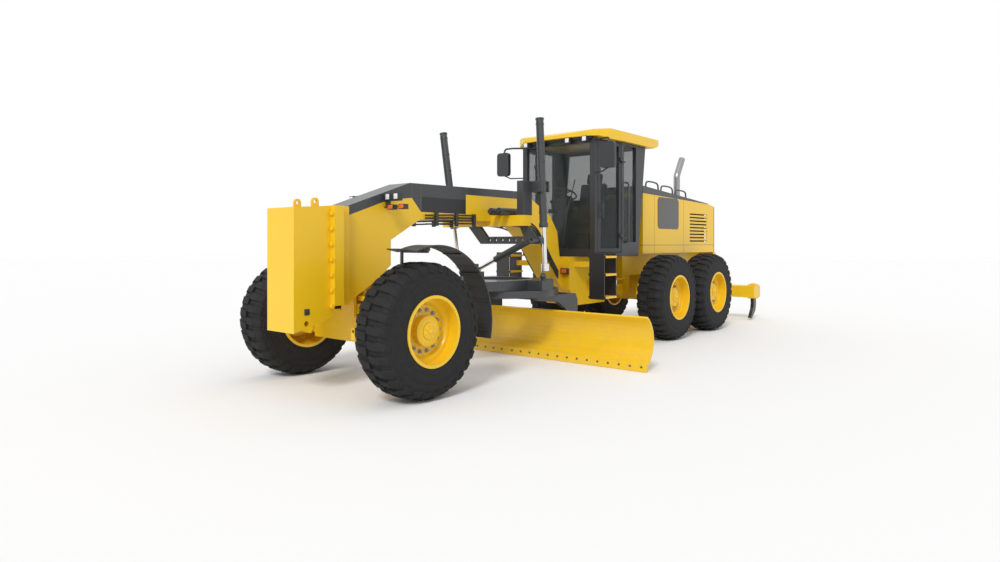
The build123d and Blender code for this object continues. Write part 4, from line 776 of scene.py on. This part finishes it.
def cushion(low, high, crown, tilt=0.0):
    """A crowned foam pad with two pressed seams, tilted by so many degrees."""
    low, high = Vector(low), Vector(high)
    bpy.ops.mesh.primitive_cube_add(size=1, location=(low + high) / 2)
    piece = bpy.context.object
    piece.scale = [b - a for a, b in zip(low, high)]
    settle(piece)
    bevel_edges(piece, min(high - low) * 0.30, 4)
    bpy.ops.object.mode_set(mode="EDIT")
    bpy.ops.mesh.select_all(action="SELECT")
    bpy.ops.mesh.subdivide(number_cuts=3)
    bpy.ops.object.mode_set(mode="OBJECT")
    middle, half = (low + high) / 2, (high - low) / 2
    thin = min(range(3), key=lambda k: half[k])
    others = [k for k in range(3) if k != thin]
    for vertex in piece.data.vertices:
        share = [(vertex.co[k] - middle[k]) / half[k] for k in range(3)]
        dome = max(0.0, 1 - share[others[0]] ** 2) * max(0.0, 1 - share[others[1]] ** 2)
        side_sign = 1 if share[thin] > 0 else -1
        vertex.co[thin] += side_sign * crown * (dome - 0.4) * abs(share[thin])
        groove = max(0.0, 1 - abs(abs(share[1]) - SEAM_AT) / SEAM_HALF)
        vertex.co[thin] -= side_sign * SEAM_DEPTH * groove * abs(share[thin])
    if tilt:
        turn = Matrix.Rotation(radians(tilt), 4, "Y")
        piece.data.transform(Matrix.Translation(middle) @ turn @ Matrix.Translation(-middle))
    return piece


seat_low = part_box("seat")[0]
BACK_TILT = -12                         # in degrees
pads = {
    "seat_cushion": cushion((-0.60, -0.245, 1.800), (-0.13, 0.245, 1.900), 0.016),
    "seat_backrest": cushion((-0.68, -0.235, 1.870), (-0.57, 0.235, 2.500), 0.018, BACK_TILT),
    "seat_headrest": cushion((-0.745, -0.135, 2.500), (-0.665, 0.135, 2.665), 0.010, BACK_TILT),
}
for name, piece in pads.items():
    fitted(piece, name, "front_frame", cloth.material, 60)
# the suspension, the pan, and an armrest on its post at each side
base = [block((-0.48, -0.12, seat_low.z + 0.002), (-0.30, 0.12, 1.71), 0.012),
        block((-0.56, -0.20, 1.70), (-0.20, 0.20, 1.805), 0.02)]
for side in SIDES.values():
    base.append(block((-0.575, side * 0.24, 1.86), (-0.525, side * 0.285, 2.10), 0.012))
    base.append(block((-0.575, side * 0.245, 2.092), (-0.22, side * 0.312, 2.138), 0.018, 3))
pedestal = fitted(joined(base, "pedestal"), "seat_pedestal", "front_frame",
                  plastic.material)
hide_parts("seat")
WHEEL_HUB = Vector((0.150, 0, 2.290))
WHEEL_RADIUS = 0.175
column_way = Vector((-0.42, 0, 0.91)).normalized()
bpy.ops.mesh.primitive_torus_add(major_radius=WHEEL_RADIUS, minor_radius=0.013, major_segments=56,
                                 minor_segments=12, location=WHEEL_HUB,
                                 rotation=column_way.to_track_quat("Z", "Y").to_euler())
rim = settle(bpy.context.object)
spokes = [rod(WHEEL_HUB - column_way * 0.09, WHEEL_HUB + column_way * 0.012, 0.030, 24, 0.006)]
flat = Vector((0.91, 0, 0.42)).normalized()
for turn in (30, 150, 270):
    way = flat * sin(radians(turn)) + Vector((0, 1, 0)) * cos(radians(turn))
    spokes.append(rod(WHEEL_HUB, WHEEL_HUB + way * (WHEEL_RADIUS - 0.003), 0.010, 12))
fitted(joined([rim] + spokes, "steering_wheel"), "steering_wheel", "front_frame",
       plastic.material)

# ---------------------------------------------------------------- hood, grille and exhaust
# Sheet steel panels, yellow below and dark grey above, cover the engine. Each side has a plain
# black field with round corners, and hand rails line the top edge.
hood_low, hood_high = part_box("hood")
DIVIDE = ((-1.28, 2.355), (-4.06, 2.275))  # X and Z of the line between the two colours
PANEL_GAPS = (-1.62, -2.72)             # X of the upright gaps between panels, drawn as lines of painted shade
PANEL_GAP_Z = 1.50
GAP_HALF = 0.004
# the painted shade in the panel gaps, a darkened yellow
GAP_SHADE = (0.10, 0.06, 0.006)


def hood_marks(finish):
    x, y, z = finish.place()
    slope = (DIVIDE[0][1] - DIVIDE[1][1]) / (DIVIDE[0][0] - DIVIDE[1][0])
    line = z - (x - DIVIDE[0][0]) * slope - DIVIDE[0][1]
    grey = line.above(0.0)
    rear = x.below(hood_low.x + 0.03)
    # painted shade along the gaps between the side panels, below the colour line
    gap_shade_mask = (z - PANEL_GAP_Z).size().below(GAP_HALF, 0.001)
    for gap in PANEL_GAPS:
        gap_shade_mask = gap_shade_mask.either((x - gap).size().below(GAP_HALF, 0.001))
    gap_shade_mask = gap_shade_mask * line.below(0.0) * y.size().above(0.55)
    return [(grey, DARK_GREY), (rear, DARK_GREY), (gap_shade_mask, GAP_SHADE)]


dress(["hood"], paint("hood_paint", YELLOW, marks=hood_marks))
dress(["engine"], dark_paint)
steel = Finish("stainless_steel", (0.34, 0.34, 0.34), 0.30, metal=1.0)
steel.feed("Roughness", steel.noise(40.0, 5.0) * 0.2 + 0.22)
dress(["exhaust"], steel.material)
FIELD = (-2.12, 2.05, 0.39, 0.27)       # X and Z of the field's middle, and half its length and height
gloss_black = Finish("gloss_black", (0.010, 0.010, 0.011), 0.16, coat=0.6)
gloss_black.feed("Roughness", gloss_black.noise(30.0) * 0.06 + 0.12)
HOOD_FRONT = (-1.22, 0.600)             # X and Y of the hood's front corner
HOOD_SPREAD = (0.640 - 0.600) / 2.84    # the hood grows wider to the rear
FIELD_DEPTH = 0.006
FIELD_CORNER = 0.075
for name, side in SIDES.items():
    y = HOOD_FRONT[1] + (HOOD_FRONT[0] - FIELD[0]) * HOOD_SPREAD
    bpy.ops.mesh.primitive_cube_add(size=1)
    field = bpy.context.object
    field.scale = (2 * FIELD[2], FIELD_DEPTH, 2 * FIELD[3])
    settle(field)
    bpy.ops.object.mode_set(mode="EDIT")
    bpy.ops.mesh.select_mode(type="EDGE")
    bpy.ops.mesh.select_all(action="DESELECT")
    bpy.ops.object.mode_set(mode="OBJECT")
    for edge in field.data.edges:
        ends = [field.data.vertices[k].co for k in edge.vertices]
        edge.select = abs(ends[0].y - ends[1].y) > FIELD_DEPTH / 2
    bpy.ops.object.mode_set(mode="EDIT")
    bpy.ops.mesh.bevel(offset=FIELD_CORNER, segments=8, affect="EDGES")
    bpy.ops.object.mode_set(mode="OBJECT")
    field.rotation_euler = (0, 0, side * -HOOD_SPREAD)
    field.location = (FIELD[0], side * (y + 0.002), FIELD[1])
    fitted(field, f"hood_field_{name}", "rear_frame", gloss_black.material)
# a black sheet behind the side slits, as painted shade for the dark inside of the hood
SHADE_SHEET_CORNERS = ((-3.78, 0.552, 1.42), (-2.90, 0.556, 2.14))  # two corners of the left sheet of painted shade
for name, side in SIDES.items():
    shade_sheet = block(*[(x, side * y, z) for x, y, z in SHADE_SHEET_CORNERS], 0.001)
    fitted(shade_sheet, f"slit_shade_sheet_{name}", "rear_frame", plastic.material)
RAILS = ((-1.40, -1.85), (-1.95, -2.40), (-2.50, -2.95))  # X of each loop's front and rear foot
RAIL_Y = 0.555
HOOD_FALL = 0.072                       # of the hood's top, per metre rearward
for name, side in SIDES.items():
    loops = []
    for front, rear in RAILS:
        middle = (front + rear) / 2
        top = hood_high.z - (HOOD_FRONT[0] - middle) * HOOD_FALL
        route = ((front, -0.03), (front, 0.06), (front - 0.03, 0.115), (middle, 0.12), (rear + 0.03, 0.105),
                 (rear, 0.05), (rear, -0.05))  # X, and height over the hood
        loops.append(tube([(x, side * RAIL_Y, top + z) for x, z in route], 0.014))
    fitted(joined(loops, "rails"), f"hood_rails_{name}", "rear_frame", dark_paint)

# ---------------------------------------------------------------- steps
# Three yellow treads between black side plates hang beside the frame on both sides, at the
# cab's front corners.
steps_low, steps_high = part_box("steps")
STEP_ENDS = 0.022                       # how far the black reaches in from each end
STEP_BLACK = (0.02, 0.02, 0.021)


def step_marks(finish):
    x = finish.place()[0]
    ends = x.above(steps_high.x - STEP_ENDS).either(x.below(steps_low.x + STEP_ENDS))
    return [(ends, STEP_BLACK)]


dress(["steps"], paint("step_paint", YELLOW, marks=step_marks))

# ---------------------------------------------------------------- ripper
# A yellow beam hinged behind the rear frame holds five black forged shanks, which stand out
# below it.
SHANKS_BELOW = 0.418                    # just under the sockets that hold the shanks
SHANK_BLACK = (0.022, 0.022, 0.023)


def ripper_marks(finish):
    return [(finish.place()[2].below(SHANKS_BELOW), SHANK_BLACK)]


dress(["ripper_frame"], paint("ripper_paint", YELLOW, marks=ripper_marks))

# ---------------------------------------------------------------- hydraulic pipes
# Four bent steel pipes, painted black, run along each side of the gooseneck, held by clamps.
# Each is in two runs, which end in a clamp where the shift cylinder swings past.
PIPE_TOP = 1.875                        # height of the top pipe
PIPE_PITCH = 0.034
PIPE_RADIUS = 0.010
PIPE_ENDS = (1.92, 2.46)                # X of the two runs' ends
REAR_ROUTE = ((0.62, -0.76), (0.80, -0.56), (0.98, -0.32), (1.15, -0.12), (1.35, -0.04), (1.60, -0.01),
              (PIPE_ENDS[0], 0.0))      # X, and height from the pipe's own level
FRONT_ROUTE = ((PIPE_ENDS[1], 0.0), (2.80, 0.0), (3.00, -0.01), (3.30, -0.02))
CLAMPS = (1.45, *PIPE_ENDS, 2.78, 3.12)
CLAMP_HALF = 0.022                      # half its length along the pipes
pipe_black = Finish("pipe_black", (0.020, 0.020, 0.021), 0.38, coat=0.2)
pipe_black.feed("Roughness", pipe_black.noise(70.0) * 0.2 + 0.28)
for name, side in SIDES.items():
    runs = []
    y = side * (NECK_HALF + 0.020)
    for k in range(4):
        level = PIPE_TOP - PIPE_PITCH * k
        for route in (REAR_ROUTE, FRONT_ROUTE):
            runs.append(tube([(x, y, level + z) for x, z in route], PIPE_RADIUS))
    for x in CLAMPS:
        runs.append(block((x - CLAMP_HALF, side * NECK_HALF, PIPE_TOP - 0.140),
                          (x + CLAMP_HALF, side * (NECK_HALF + 0.036), PIPE_TOP + 0.020), 0.005))
    fitted(joined(runs, "pipes"), f"neck_pipes_{name}", "front_frame", pipe_black.material)
